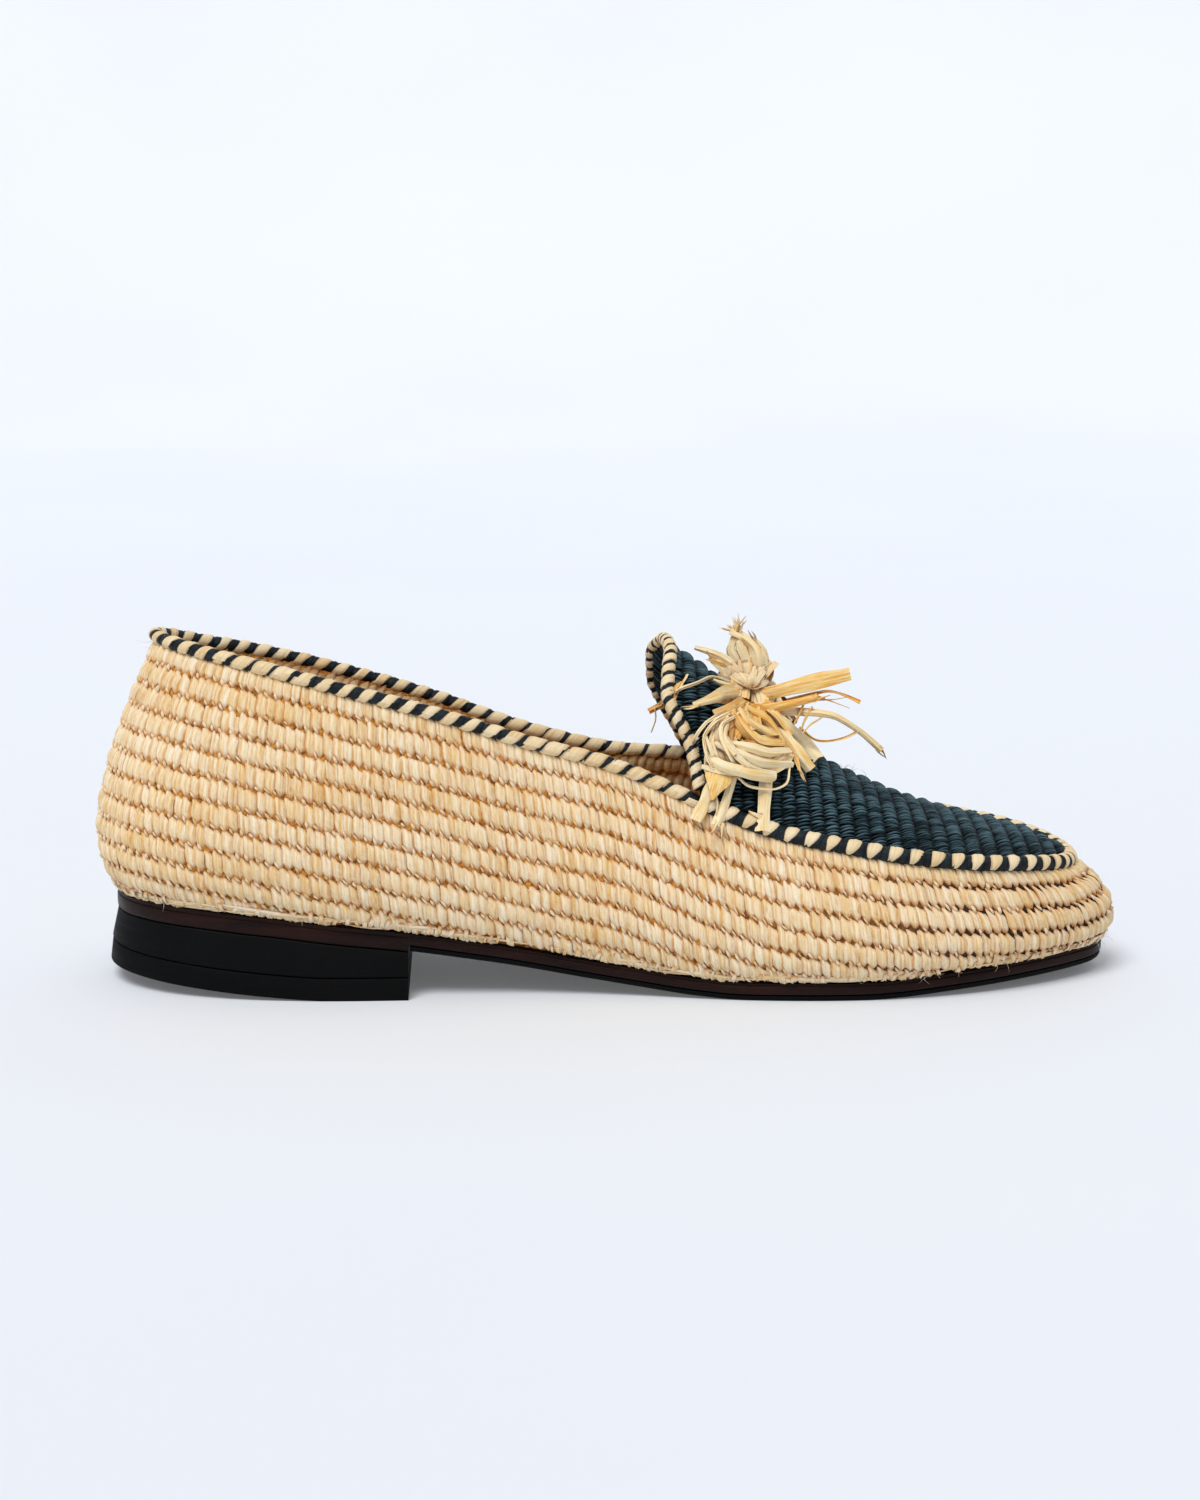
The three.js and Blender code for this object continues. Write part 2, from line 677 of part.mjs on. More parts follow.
function outsoleGeometry() {
  const profile = [
    { share: 0, inset: outsoleBevel + outsoleInset },
    { share: 0.5, inset: outsoleInset },
    { share: 1, inset: outsoleInset },
  ];
  const height = (x, share) => underside(x) + share * outsoleThickness;
  return layerGeometry({ profile, height, steps: soleSteps, from: breastAt + stepRun + clearance });
}

// Heel: lifts and top piece, with the top piece flat behind the breast and rising to the rear
function treadHeight(x) {
  const rear = sections[0].footAt * shoeLength;
  const flatFrom = breastAt - heelFlat;
  return heelLift * clamp01((flatFrom - x) / (flatFrom - rear)) ** treadCurve;
}

function heelLiftsGeometry() {
  const profile = [
    { share: 0, inset: -heelFlare * liftFlare },
    { share: 1, inset: liftInset },
  ];
  const low = (x) => treadHeight(x) + topPieceThickness + clearance;
  const high = (x) => underside(x) - clearance;
  const height = (x, share) => mix(low(x), high(x), share);
  return layerGeometry({ profile, height, steps: heelSteps, to: breastAt });
}

function topPieceGeometry() {
  const profile = [
    { share: 0, inset: -heelFlare },
    { share: 1, inset: -heelFlare * liftFlare },
  ];
  const height = (x, share) => treadHeight(x) + share * topPieceThickness;
  return layerGeometry({ profile, height, steps: heelSteps, to: breastAt });
}

function insoleGeometry() {
  const profile = [
    { share: 0, inset: insoleInset },
    { share: 1, inset: insoleInset - insoleBevel },
  ];
  const height = (x, share) => soleTop(x) + clearance + share * insoleThickness;
  return layerGeometry({ profile, height, steps: soleSteps });
}

// Pompom: a knot on the crest, a cluster down each side and loose strips, clear of the plug and
// its seam
const wasm = await Module();
wasm.setup();

function toManifold(geometry) {
  const bare = geometry.clone();
  bare.deleteAttribute("normal");
  bare.deleteAttribute("uv");
  const merged = mergeVertices(bare, 1e-4);
  const vertProperties = Float32Array.from(merged.getAttribute("position").array);
  const triVerts = Uint32Array.from(merged.getIndex().array);
  return new wasm.Manifold(new wasm.Mesh({ numProp: 3, vertProperties, triVerts }));
}

function fromManifold(solid) {
  const mesh = solid.getMesh();
  return closedGeometry([...mesh.vertProperties], [...mesh.triVerts]);
}

function knotPoint() {
  const start = plugPoint(throatTurnIn, 0, 0).x;
  const ahead = (share) => plugPoint(plugTurn(share), 0, 0).x - start;
  const turn = plugTurn(largest(1, (share) => ahead(share) < knotForward));
  return { turn, crest: plugPoint(turn, 0, 0) };
}

function stripGeometry(knot, row) {
  const turn = THREE.MathUtils.degToRad(row.turn);
  const lift = THREE.MathUtils.degToRad(row.lift);
  const level = Math.cos(lift);
  const heading = new THREE.Vector3(level * Math.cos(turn), level * Math.sin(turn), Math.sin(lift));
  const rings = [];
  for (let i = 0; i <= stripSteps; i += 1) {
    const share = i / stripSteps;
    const centre = knot.clone().addScaledVector(heading, row.reach * tuftLength * share);
    centre.z -= row.droop * tuftLength * share * share;
    const along = heading.clone().multiplyScalar(row.reach).addScaledVector(up, -2 * row.droop * share).normalize();
    const wide = new THREE.Vector3().crossVectors(up, along).normalize();
    if (wide.lengthSq() < 0.5) wide.set(0, 1, 0);
    const thick = new THREE.Vector3().crossVectors(along, wide);
    const corners = [[-1, -1], [1, -1], [1, 1], [-1, 1]];
    const half = (row.width * stripWidth) / 2;
    rings.push(corners.map(([a, b]) => centre.clone()
      .addScaledVector(wide, a * half).addScaledVector(thick, (b * stripThickness) / 2)));
  }
  return ringSolid(rings, false);
}

// A ball that is flattened along a direction by its length
function blob(centre, radius, flat) {
  const ball = new THREE.SphereGeometry(radius, ...ballFacets);
  const position = ball.getAttribute("position");
  const point = new THREE.Vector3();
  for (let i = 0; i < position.count; i += 1) {
    point.fromBufferAttribute(position, i);
    if (flat.lengthSq() > 0) point.addScaledVector(flat, -point.dot(flat) / flat.length());
    point.add(centre);
    position.setXYZ(i, point.x, point.y, point.z);
  }
  return ball;
}

function pompomGeometry() {
  const { turn, crest } = knotPoint();
  const knot = crest.clone().addScaledVector(up, knotHeight);
  let body = toManifold(blob(knot, knotRadius, new THREE.Vector3(0, 0, 0)));
  for (const row of pompomTufts) {
    const middle = plugFace(turn, row.across, 0, row.over * tuftLength);
    const flat = plugNormal(turn, row.across, 0).multiplyScalar(tuftFlattening);
    body = body.add(toManifold(blob(middle, row.size * tuftLength, flat)));
  }
  for (const row of pompomStrips) body = body.add(toManifold(stripGeometry(knot, row)));
  const plugRoom = sheetGeometry(plugGrid(clearance), plugGrid(-3 * plugThickness));
  const seamRoom = apronSeamGeometry(seamWidth + 2 * plugClearance);
  return fromManifold(body.subtract(toManifold(plugRoom)).subtract(toManifold(seamRoom)));
}

// Materials
const finishes = {
  raffia: { color: 0xe6cb98, roughness: 0.62, metalness: 0 },
  darkRaffia: { color: 0x141f27, roughness: 0.6, metalness: 0 },
  pompomRaffia: { color: 0xe9cc92, roughness: 0.55, metalness: 0 },
  lining: { color: 0xb98a5c, roughness: 0.6, metalness: 0 },
  soleLeather: { color: 0x35150f, roughness: 0.45, metalness: 0 },
  blackRubber: { color: 0x0c0e10, roughness: 0.75, metalness: 0 },
};

function piece(name, geometry, finish) {
  const mesh = new THREE.Mesh(geometry, new THREE.MeshStandardMaterial(finishes[finish]));
  mesh.name = name;
  return mesh;
}

const pieces = [
  piece("upper_wall", upperGeometry(), "raffia"),
  piece("plug_and_tongue", plugGeometry(), "darkRaffia"),
  piece("apron_seam", apronSeamGeometry(), "raffia"),
  piece("collar_binding", collarBindingGeometry(), "raffia"),
  piece("tongue_binding", tongueBindingGeometry(), "raffia"),
  piece("pompom", pompomGeometry(), "pompomRaffia"),
  piece("insole", insoleGeometry(), "lining"),
  piece("midsole", midsoleGeometry(), "soleLeather"),
  piece("outsole", outsoleGeometry(), "blackRubber"),
  piece("heel_lifts", heelLiftsGeometry(), "blackRubber"),
  piece("heel_top_piece", topPieceGeometry(), "blackRubber"),
];

// Origin on the ground, under the middle of the shoe's box
const loafer = new THREE.Group();
const box = new THREE.Box3();
for (const mesh of pieces) {
  mesh.geometry.computeBoundingBox();
  box.union(mesh.geometry.boundingBox);
  loafer.add(mesh);
}
const middle = box.getCenter(new THREE.Vector3());
for (const mesh of pieces) mesh.position.set(-middle.x, -middle.y, -box.min.z);

export default loafer;
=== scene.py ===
"""Raffia loafer for the left foot: crocheted wall, dark woven plug, wrapped cords, pompom, leather sole.

Lengths are in millimetres in the shoe's own frame, x from the heel to the toe, y to the outer side of
the foot, and they are turned into metres of the CAD frame when a mesh is made.
"""
import math

import bpy
import numpy as np
from mathutils import Matrix, Vector
from mathutils.bvhtree import BVHTree


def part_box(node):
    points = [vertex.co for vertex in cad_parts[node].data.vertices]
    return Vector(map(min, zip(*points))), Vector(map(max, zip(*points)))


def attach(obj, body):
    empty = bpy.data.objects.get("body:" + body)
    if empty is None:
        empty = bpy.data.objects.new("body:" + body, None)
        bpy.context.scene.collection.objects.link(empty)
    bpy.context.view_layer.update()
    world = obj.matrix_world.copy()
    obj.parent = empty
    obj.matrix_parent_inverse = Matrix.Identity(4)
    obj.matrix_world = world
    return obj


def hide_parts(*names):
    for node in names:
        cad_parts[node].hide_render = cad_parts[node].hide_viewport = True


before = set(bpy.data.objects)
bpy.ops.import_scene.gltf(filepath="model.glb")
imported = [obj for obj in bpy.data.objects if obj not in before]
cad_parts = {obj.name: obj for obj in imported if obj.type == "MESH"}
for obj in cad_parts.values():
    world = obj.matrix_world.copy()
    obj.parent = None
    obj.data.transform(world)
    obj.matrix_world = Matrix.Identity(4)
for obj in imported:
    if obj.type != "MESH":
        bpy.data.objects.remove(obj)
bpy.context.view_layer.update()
rng = np.random.default_rng(11)

# Last and wall, as in the CAD source
SHOE_LENGTH = 264.0
BALL_WIDTH = 80.0
HEEL_WIDTH = 61.0
BACK_HEIGHT = 65.0
THROAT_HEIGHT = 44.6
TOE_HEIGHT = 21.6
INSTEP_HEIGHT = 77.0
TONGUE_SWEEP = 12.4
ARCH_POWER = 2.3
BELLY = (12.0, 8.5, 7.0)
SHOULDER = (2.0, 2.0, 3.5)
BELLY_RISE = 0.18
SHOULDER_RISE = (0.58, 0.62, 0.77)
HEEL_ZONE = (0.02, 0.25)
WAIST_ZONE = (0.3, 0.62)
TOE_ZONE = (0.85, 0.99)
WALL = 2.2
SEAM = 3.8
SOLE = 4.4
OUTSOLE = 1.3
INSOLE = 2.4
FOOT_INSET = 0.8
CLEARANCE = 0.3
HEEL_RISE = 18.8
TOE_SPRING = 3.4
BREAST = 80.5
TOP_PIECE = 5.6
HEEL_LIFT = 4.4
HEEL_FLAT = 22.0
HEEL_FLARE = 2.0
LIFT_FLARE = 0.7
TREAD_CURVE = 1.15

# Sections from the heel back to the toe tip: foot and rim as shares of length and local width, rises
SECTION_COLUMNS = ("foot_at", "foot_in", "foot_out", "rim_at", "rim_in", "rim_out", "rise_in", "rise_out")
SECTIONS = (
    (0.019, 0.0, 0.0, 0.062, 0.0, 0.0, 1.012, 1.012),
    (0.03, 0.197, 0.197, 0.076, 0.139, 0.143, 1.018, 0.997),
    (0.066, 0.352, 0.352, 0.11, 0.246, 0.251, 1.02, 0.982),
    (0.129, 0.459, 0.462, 0.159, 0.333, 0.336, 1.026, 0.977),
    (0.22, 0.503, 0.508, 0.235, 0.384, 0.384, 1.031, 0.972),
    (0.322, 0.496, 0.516, 0.326, 0.401, 0.404, 1.034, 0.952),
    (0.424, 0.435, 0.484, 0.42, 0.376, 0.377, 1.038, 0.925),
    (0.511, 0.412, 0.478, 0.504, 0.351, 0.358, 1.061, 0.95),
    (0.587, 0.428, 0.498, 0.585, 0.357, 0.367, 0.994, 1.021),
    (0.652, 0.453, 0.529, 0.652, 0.376, 0.392, 0.945, 0.96),
    (0.72, 0.46, 0.54, 0.72, 0.398, 0.422, 0.95, 0.965),
    (0.788, 0.438, 0.512, 0.788, 0.391, 0.415, 0.957, 0.975),
    (0.852, 0.383, 0.438, 0.85, 0.35, 0.38, 0.97, 0.99),
    (0.909, 0.297, 0.325, 0.899, 0.279, 0.305, 1.0, 1.015),
    (0.949, 0.209, 0.215, 0.931, 0.188, 0.21, 1.005, 1.015),
    (0.977, 0.118, 0.108, 0.947, 0.1, 0.12, 1.0, 1.005),
    (0.987, 0.008, -0.008, 0.953, -0.01, 0.01, 0.995, 0.995),
)
THROAT_SECTION = 8

# Underside of the sole: length share, heel share, toe share
SOLE_PROFILE = (
    (0, 1, 0), (0.085, 0.952, 0), (0.17, 0.862, 0), (0.235, 0.755, 0), (0.295, 0.665, 0), (0.386, 0.47, 0),
    (0.473, 0.255, 0), (0.538, 0.117, 0), (0.58, 0.043, 0), (0.625, 0, 0), (0.74, 0, 0), (0.77, 0, 0.09),
    (0.82, 0, 0.38), (0.87, 0, 0.62), (0.925, 0, 0.83), (1, 0, 1),
)
# Crest of the plug: length share, share of the instep height
PLUG_CREST = (
    (0.53, 1.095), (0.558, 1.035), (0.585, 0.985), (0.614, 0.915), (0.652, 0.804), (0.682, 0.722),
    (0.72, 0.632), (0.754, 0.573), (0.788, 0.513), (0.822, 0.462), (0.852, 0.428), (0.886, 0.394),
    (0.909, 0.37), (0.934, 0.337), (0.953, 0.3),
)
# Free edge of the tongue: share of the half width, share of the tongue sweep
TONGUE_EDGE = (
    (-1, 0), (-0.78, 0.23), (-0.69, 0.47), (-0.6, 0.66), (-0.45, 0.63), (-0.2, 0.56), (0, 0.6), (0.3, 0.7),
    (0.51, 0.86), (0.67, 0.83), (0.78, 0.6), (0.88, 0.27), (1, 0),
)


# Camera: the photo's view from the medial side
CAMERA_AIM = (131.0, 0.0, 57.6)
CAMERA_AIM_PX = (605, 750)
CAMERA_DISTANCE = 913.0
CAMERA_ELEVATION = 11.0
CAMERA_YAW = 1.8
CAMERA_LENS = 85.0
SENSOR = 36.0
PHOTO_SIZE = (1200, 1500)

# Range of the random starts of the fibres' pattern, in mm
FIBRE_STARTS = 90


def mix(a, b, share):
    return a + (b - a) * share


def smooth(low, high, value):
    share = np.clip((np.asarray(value, float) - low) / (high - low), 0.0, 1.0)
    return share * share * (3 - 2 * share)


def unit(vectors):
    return vectors / np.maximum(np.linalg.norm(vectors, axis=-1, keepdims=True), 1e-9)


def column(table, value, which=1):
    """Monotone cubic through a column of a table."""
    rows = np.array(table, float)
    x, y = rows[:, 0], rows[:, which]
    value = np.clip(value, x[0], x[-1])
    slope = np.diff(y) / np.diff(x)
    before, after = slope[:-1], slope[1:]
    total = np.where(before * after > 0, before + after, 1.0)
    inner = np.where(before * after > 0, 2 * before * after / total, 0.0)
    tangent = np.concatenate([slope[:1], inner, slope[-1:]])
    i = np.clip(np.searchsorted(x, value, side="right") - 1, 0, len(x) - 2)
    span = x[i + 1] - x[i]
    t = (value - x[i]) / span
    ease = t * t * (3 - 2 * t)
    bend = t * (1 - t) ** 2 * tangent[i] - t * t * (1 - t) * tangent[i + 1]
    return (1 - ease) * y[i] + ease * y[i + 1] + span * bend


def path_lengths(path):
    """Distance from the start of a path to each of its points."""
    steps = np.linalg.norm(np.diff(path, axis=0), axis=-1)
    return np.concatenate([[0.0], np.cumsum(steps)])


def points_at(at, known, points):
    """Points of a path at values of a measure that is known at each of its points."""
    return np.stack([np.interp(at, known, points[:, k]) for k in range(3)], axis=-1)


def strand_axes(rings, section):
    """Shares along a strand and places across it from -1 to 1, as grids to combine."""
    return np.linspace(0, 1, rings)[None, :, None], np.linspace(-1, 1, section)[None, None, :]


def swell(t, low=0.1, span=0.8, power=1.0):
    """Rise and fall along a strand: part of half a wave, from a low share of it over a span."""
    return np.sin(np.pi * (low + span * t)) ** power


def middle_painted_light(t, x, drop, power):
    """Painted light that the material reads: full along a strand's middle and dropping to its edges, where it
    paints shade.
    """
    return np.clip(1.1 - drop * np.abs(x) ** power + 0 * t, 0, 1)


def into_scene(item):
    bpy.context.scene.collection.objects.link(item)
    return item


def draws_for(count):
    """A function that draws a number between two limits for each of count strands."""
    return lambda low, high: rng.uniform(low, high, count)[:, None, None]


def fibre_place(across, along, count=None):
    """Fibre coordinates over a strand in mm, with a random start, one for each strand of a count."""
    start = rng.uniform(0, FIBRE_STARTS, None if count is None else (count, 1, 1, 1))
    return np.stack(np.broadcast_arrays(across, along), axis=-1) + start


def underside(x):
    at = np.asarray(x, float) / SHOE_LENGTH
    return HEEL_RISE * column(SOLE_PROFILE, at, 1) + TOE_SPRING * column(SOLE_PROFILE, at, 2)


def sole_top(x):
    return underside(x) + SOLE


def local_width(at):
    return mix(HEEL_WIDTH, BALL_WIDTH, smooth(*WAIST_ZONE, at))


def local_rise(at):
    heel_at = SECTIONS[0][3]
    throat_at = SECTIONS[THROAT_SECTION][3]
    toe_at = SECTIONS[-1][3]
    return np.interp(at, [heel_at, throat_at, toe_at], [BACK_HEIGHT, THROAT_HEIGHT, TOE_HEIGHT])


def along_shoe(at, values):
    heel, side, toe = values
    return mix(mix(heel, side, smooth(*HEEL_ZONE, at)), toe, smooth(*TOE_ZONE, at))


class Loop:
    """Closed centripetal curve through points, at a turn from 0 to 1."""

    def __init__(self, points):
        self.points = np.array(points, float)

    def at(self, turn):
        count = len(self.points)
        place = (np.asarray(turn, float) % 1.0) * count
        i = np.floor(place).astype(int)
        w = (place - i)[..., None]
        a, b, c, d = (self.points[(i + k) % count] for k in (-1, 0, 1, 2))
        before, here, after = (
            np.sqrt(np.linalg.norm(q - p, axis=-1, keepdims=True)) for p, q in ((a, b), (b, c), (c, d))
        )
        first = ((b - a) / before - (c - a) / (before + here) + (c - b) / here) * here
        second = ((c - b) / here - (d - b) / (here + after) + (d - c) / after) * here
        square = -3 * b + 3 * c - 2 * first - second
        cube = 2 * b - 2 * c + first + second
        return b + first * w + square * w**2 + cube * w**3


def loop_rows():
    rows = [dict(zip(SECTION_COLUMNS, row)) for row in SECTIONS]
    medial = [(row, -1, "in") for row in rows]
    lateral = [(row, 1, "out") for row in rows[-2:0:-1]]
    return medial + lateral


def edge_point(row, side, name):
    x = row["foot_at"] * SHOE_LENGTH
    return (x, side * row["foot_" + name] * local_width(row["foot_at"]), sole_top(x))


def rim_point(row, side, name):
    at = row["rim_at"]
    x = at * SHOE_LENGTH
    y = side * row["rim_" + name] * local_width(at)
    return (x, y, sole_top(x) + row["rise_" + name] * local_rise(at))


ROWS = loop_rows()
sole_edge = Loop([edge_point(*row) for row in ROWS])
rim = Loop([rim_point(*row) for row in ROWS])
THROAT = THROAT_SECTION / len(ROWS)
TINY = 1e-4


def outward(turn):
    """Level direction out of the shoe at a turn."""
    along = sole_edge.at(turn + TINY) - sole_edge.at(turn - TINY)
    level = np.stack([along[..., 1], -along[..., 0], np.zeros_like(along[..., 0])], axis=-1)
    return unit(level)


UP = np.array([0.0, 0.0, 1.0])

# The CAD frame's origin, found from the midsole, which reaches the sole edge at the heel back
edge_samples = sole_edge.at(np.linspace(0, 1, 2000))
midsole_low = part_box("midsole")[0]
ORIGIN = np.array([
    edge_samples[:, 0].min() - midsole_low[0] * 1000,
    edge_samples[:, 1].min() - midsole_low[1] * 1000,
    0.0,
])


def to_frame(points):
    return (np.asarray(points, float) - ORIGIN) / 1000


class Sheet:
    """A surface as a grid of points, read at grid coordinates with a lift along its outward normal."""

    def __init__(self, points, wraps):
        self.points = points
        self.wraps = wraps
        if wraps:
            along = np.roll(points, -1, axis=0) - np.roll(points, 1, axis=0)
        else:
            along = np.gradient(points, axis=0)
        across = np.gradient(points, axis=1)
        self.normals = unit(np.cross(across, along))

    def read(self, grid, u, v):
        rows, columns = grid.shape[:2]
        v = np.clip(v, 0, columns - 1.001)
        if self.wraps:
            u = u % rows
        else:
            u = np.clip(u, 0, rows - 1.001)
        i, j = np.floor(u).astype(int), np.floor(v).astype(int)
        a, b = (u - i)[..., None], (v - j)[..., None]
        i = i % rows
        k = (i + 1) % rows
        low = grid[i, j] * (1 - b) + grid[i, j + 1] * b
        high = grid[k, j] * (1 - b) + grid[k, j + 1] * b
        return low * (1 - a) + high * a

    def at(self, u, v, lift=0.0):
        u, v, lift = np.broadcast_arrays(np.asarray(u, float), v, lift)
        return self.read(self.points, u, v) + self.read(self.normals, u, v) * lift[..., None]


# Wall: turns round the shoe by steps of distance down from the rim
WALL_TURNS = 720
WALL_STEP = 0.5
WALL_REACH = 84.0
WALL_CURVE = 61


def wall_sheet():
    turns = np.arange(WALL_TURNS) / WALL_TURNS
    out = outward(turns)
    foot = sole_edge.at(turns) - FOOT_INSET * out
    foot[:, 2] = sole_top(foot[:, 0]) + CLEARANCE
    top = rim.at(turns)
    height = (top[:, 2] - foot[:, 2])[:, None]
    at = foot[:, 0] / SHOE_LENGTH
    low = foot + out * along_shoe(at, BELLY)[:, None] + UP * BELLY_RISE * height
    rise = along_shoe(at, SHOULDER_RISE)[:, None] * height
    high = foot + out * along_shoe(at, SHOULDER)[:, None] + UP * rise
    t = np.linspace(0, 1, WALL_CURVE)[None, :, None]
    curve = (
        top[:, None] * (1 - t) ** 3 + 3 * high[:, None] * t * (1 - t) ** 2
        + 3 * low[:, None] * t**2 * (1 - t) + foot[:, None] * t**3
    )
    steps = np.linalg.norm(np.diff(curve, axis=1), axis=-1)
    travelled = np.concatenate([np.zeros((WALL_TURNS, 1)), np.cumsum(steps, axis=1)], axis=1)
    wanted = np.arange(0, WALL_REACH, WALL_STEP)
    grid = np.empty((WALL_TURNS, len(wanted), 3))
    for i in range(WALL_TURNS):
        for axis in range(3):
            grid[i, :, axis] = np.interp(wanted, travelled[i], curve[i, :, axis])
        # past the foot the grid goes straight on, so that its normals stay good
        end = curve[i, -1] - curve[i, -3]
        beyond = np.maximum(wanted - travelled[i, -1], 0)[:, None]
        grid[i] += beyond * end / np.linalg.norm(end)
    return Sheet(grid, True), travelled[:, -1]


wall, wall_length = wall_sheet()


def wall_at(turn, distance, lift=0.0):
    return wall.at(np.asarray(turn) * WALL_TURNS, np.asarray(distance) / WALL_STEP, lift)


def foot_distance(turn):
    turns = np.arange(WALL_TURNS + 1) / WALL_TURNS
    return np.interp(np.asarray(turn) % 1.0, turns, np.append(wall_length, wall_length[0]))


# Plug: rows along the shoe from the free edge of the tongue, columns across it
PLUG_COLUMNS = 121
PLUG_ROWS = 150
PLUG_END = 0.995
TONGUE_ROWS = 16


def plug_point(turn, across, back):
    medial, lateral = rim.at(turn), rim.at(1 - turn)
    point = mix(medial, lateral, ((across + 1) / 2)[..., None])
    point[..., 0] -= back
    middle = (medial[..., 0] + lateral[..., 0]) / 2 - back
    base = (medial[..., 2] + lateral[..., 2]) / 2
    crest = sole_top(middle) + INSTEP_HEIGHT * column(PLUG_CREST, middle / SHOE_LENGTH)
    point[..., 2] += np.maximum(crest - base, 0) * (1 - np.abs(across) ** ARCH_POWER)
    return point


def plug_sheet():
    across = np.sin(np.linspace(-1, 1, PLUG_COLUMNS) * math.pi / 2)
    rows = []
    for i in range(TONGUE_ROWS):
        free = 1 - i / TONGUE_ROWS
        back = free * TONGUE_SWEEP * column(TONGUE_EDGE, across)
        rows.append(plug_point(np.full_like(across, THROAT), across, back))
    for share in np.linspace(0, PLUG_END, PLUG_ROWS):
        turn = np.full_like(across, mix(THROAT, 0.5, share))
        rows.append(plug_point(turn, across, np.zeros_like(across)))
    sheet = Sheet(np.array(rows), False)
    if sheet.normals[PLUG_ROWS // 2, PLUG_COLUMNS // 2, 2] < 0:
        sheet.normals = -sheet.normals
    return sheet


plug = plug_sheet()


class Bundle:
    """Many swept strands or sheets that make one piece, with what their material reads."""

    def __init__(self):
        self.points, self.faces, self.tones, self.depths, self.places = [], [], [], [], []
        self.count = 0

    def add(self, rings, tone, depth, place, closed=False, loop=False):
        """rings: strands, rings, section points, 3. closed joins a section, loop joins the rings."""
        strands, length, section = rings.shape[:3]
        index = self.count + np.arange(strands * length * section).reshape(strands, length, section)
        after = np.roll(index, -1, axis=1) if loop else index[:, 1:]
        here = index if loop else index[:, :-1]
        if closed:
            quads = (here, np.roll(here, -1, axis=2), np.roll(after, -1, axis=2), after)
        else:
            quads = (here[..., :-1], here[..., 1:], after[..., 1:], after[..., :-1])
        self.faces.append(np.stack(quads, axis=-1).reshape(-1, 4))
        if closed and not loop:
            for ring, order in ((index[:, 0], (3, 2, 1, 0)), (index[:, -1], (0, 1, 2, 3))):
                for k in range(section // 2 - 1):
                    corners = [ring[:, k], ring[:, k + 1], ring[:, section - 2 - k], ring[:, section - 1 - k]]
                    self.faces.append(np.stack([corners[o] for o in order], axis=-1))
        shape = (strands, length, section)
        self.points.append(rings.reshape(-1, 3))
        self.tones.append(np.broadcast_to(tone, shape).reshape(-1))
        # painted light of each point; where it is low, the strand materials paint shade
        self.depths.append(np.broadcast_to(depth, shape).reshape(-1))
        self.places.append(np.broadcast_to(place, shape + (2,)).reshape(-1, 2))
        self.count += strands * length * section

    def make(self, name, material, node, slot, sharp=None):
        points = to_frame(np.concatenate(self.points))
        faces = np.concatenate(self.faces)
        mesh = bpy.data.meshes.new(name)
        mesh.vertices.add(len(points))
        mesh.vertices.foreach_set("co", points.ravel())
        mesh.loops.add(faces.size)
        mesh.loops.foreach_set("vertex_index", faces.ravel().astype(np.int32))
        mesh.polygons.add(len(faces))
        mesh.polygons.foreach_set("loop_start", np.arange(0, faces.size, 4, dtype=np.int32))
        mesh.update(calc_edges=True)
        mesh.validate()
        for label, values in (("tone", self.tones), ("depth", self.depths)):
            attribute = mesh.attributes.new(label, "FLOAT", "POINT")
            attribute.data.foreach_set("value", np.concatenate(values).astype(np.float32))
        corners = np.empty(len(mesh.loops), dtype=np.int32)
        mesh.loops.foreach_get("vertex_index", corners)
        layer = mesh.uv_layers.new(name="strand")
        layer.data.foreach_set("uv", np.concatenate(self.places)[corners].astype(np.float32).ravel())
        mesh.shade_smooth()
        if sharp is not None:
            mesh.set_sharp_from_angle(angle=math.radians(sharp))
        mesh.materials.append(material)
        piece = into_scene(bpy.data.objects.new(name, mesh))
        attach(piece, "root")
        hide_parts(node)


def build_piece(name, material, node, slot, *makers, sharp=None):
    """A piece from calls, each given as a function and what it takes after the bundle."""
    bundle = Bundle()
    for maker, *settings in makers:
        maker(bundle, *settings)
    bundle.make(name, material, node, slot, sharp)


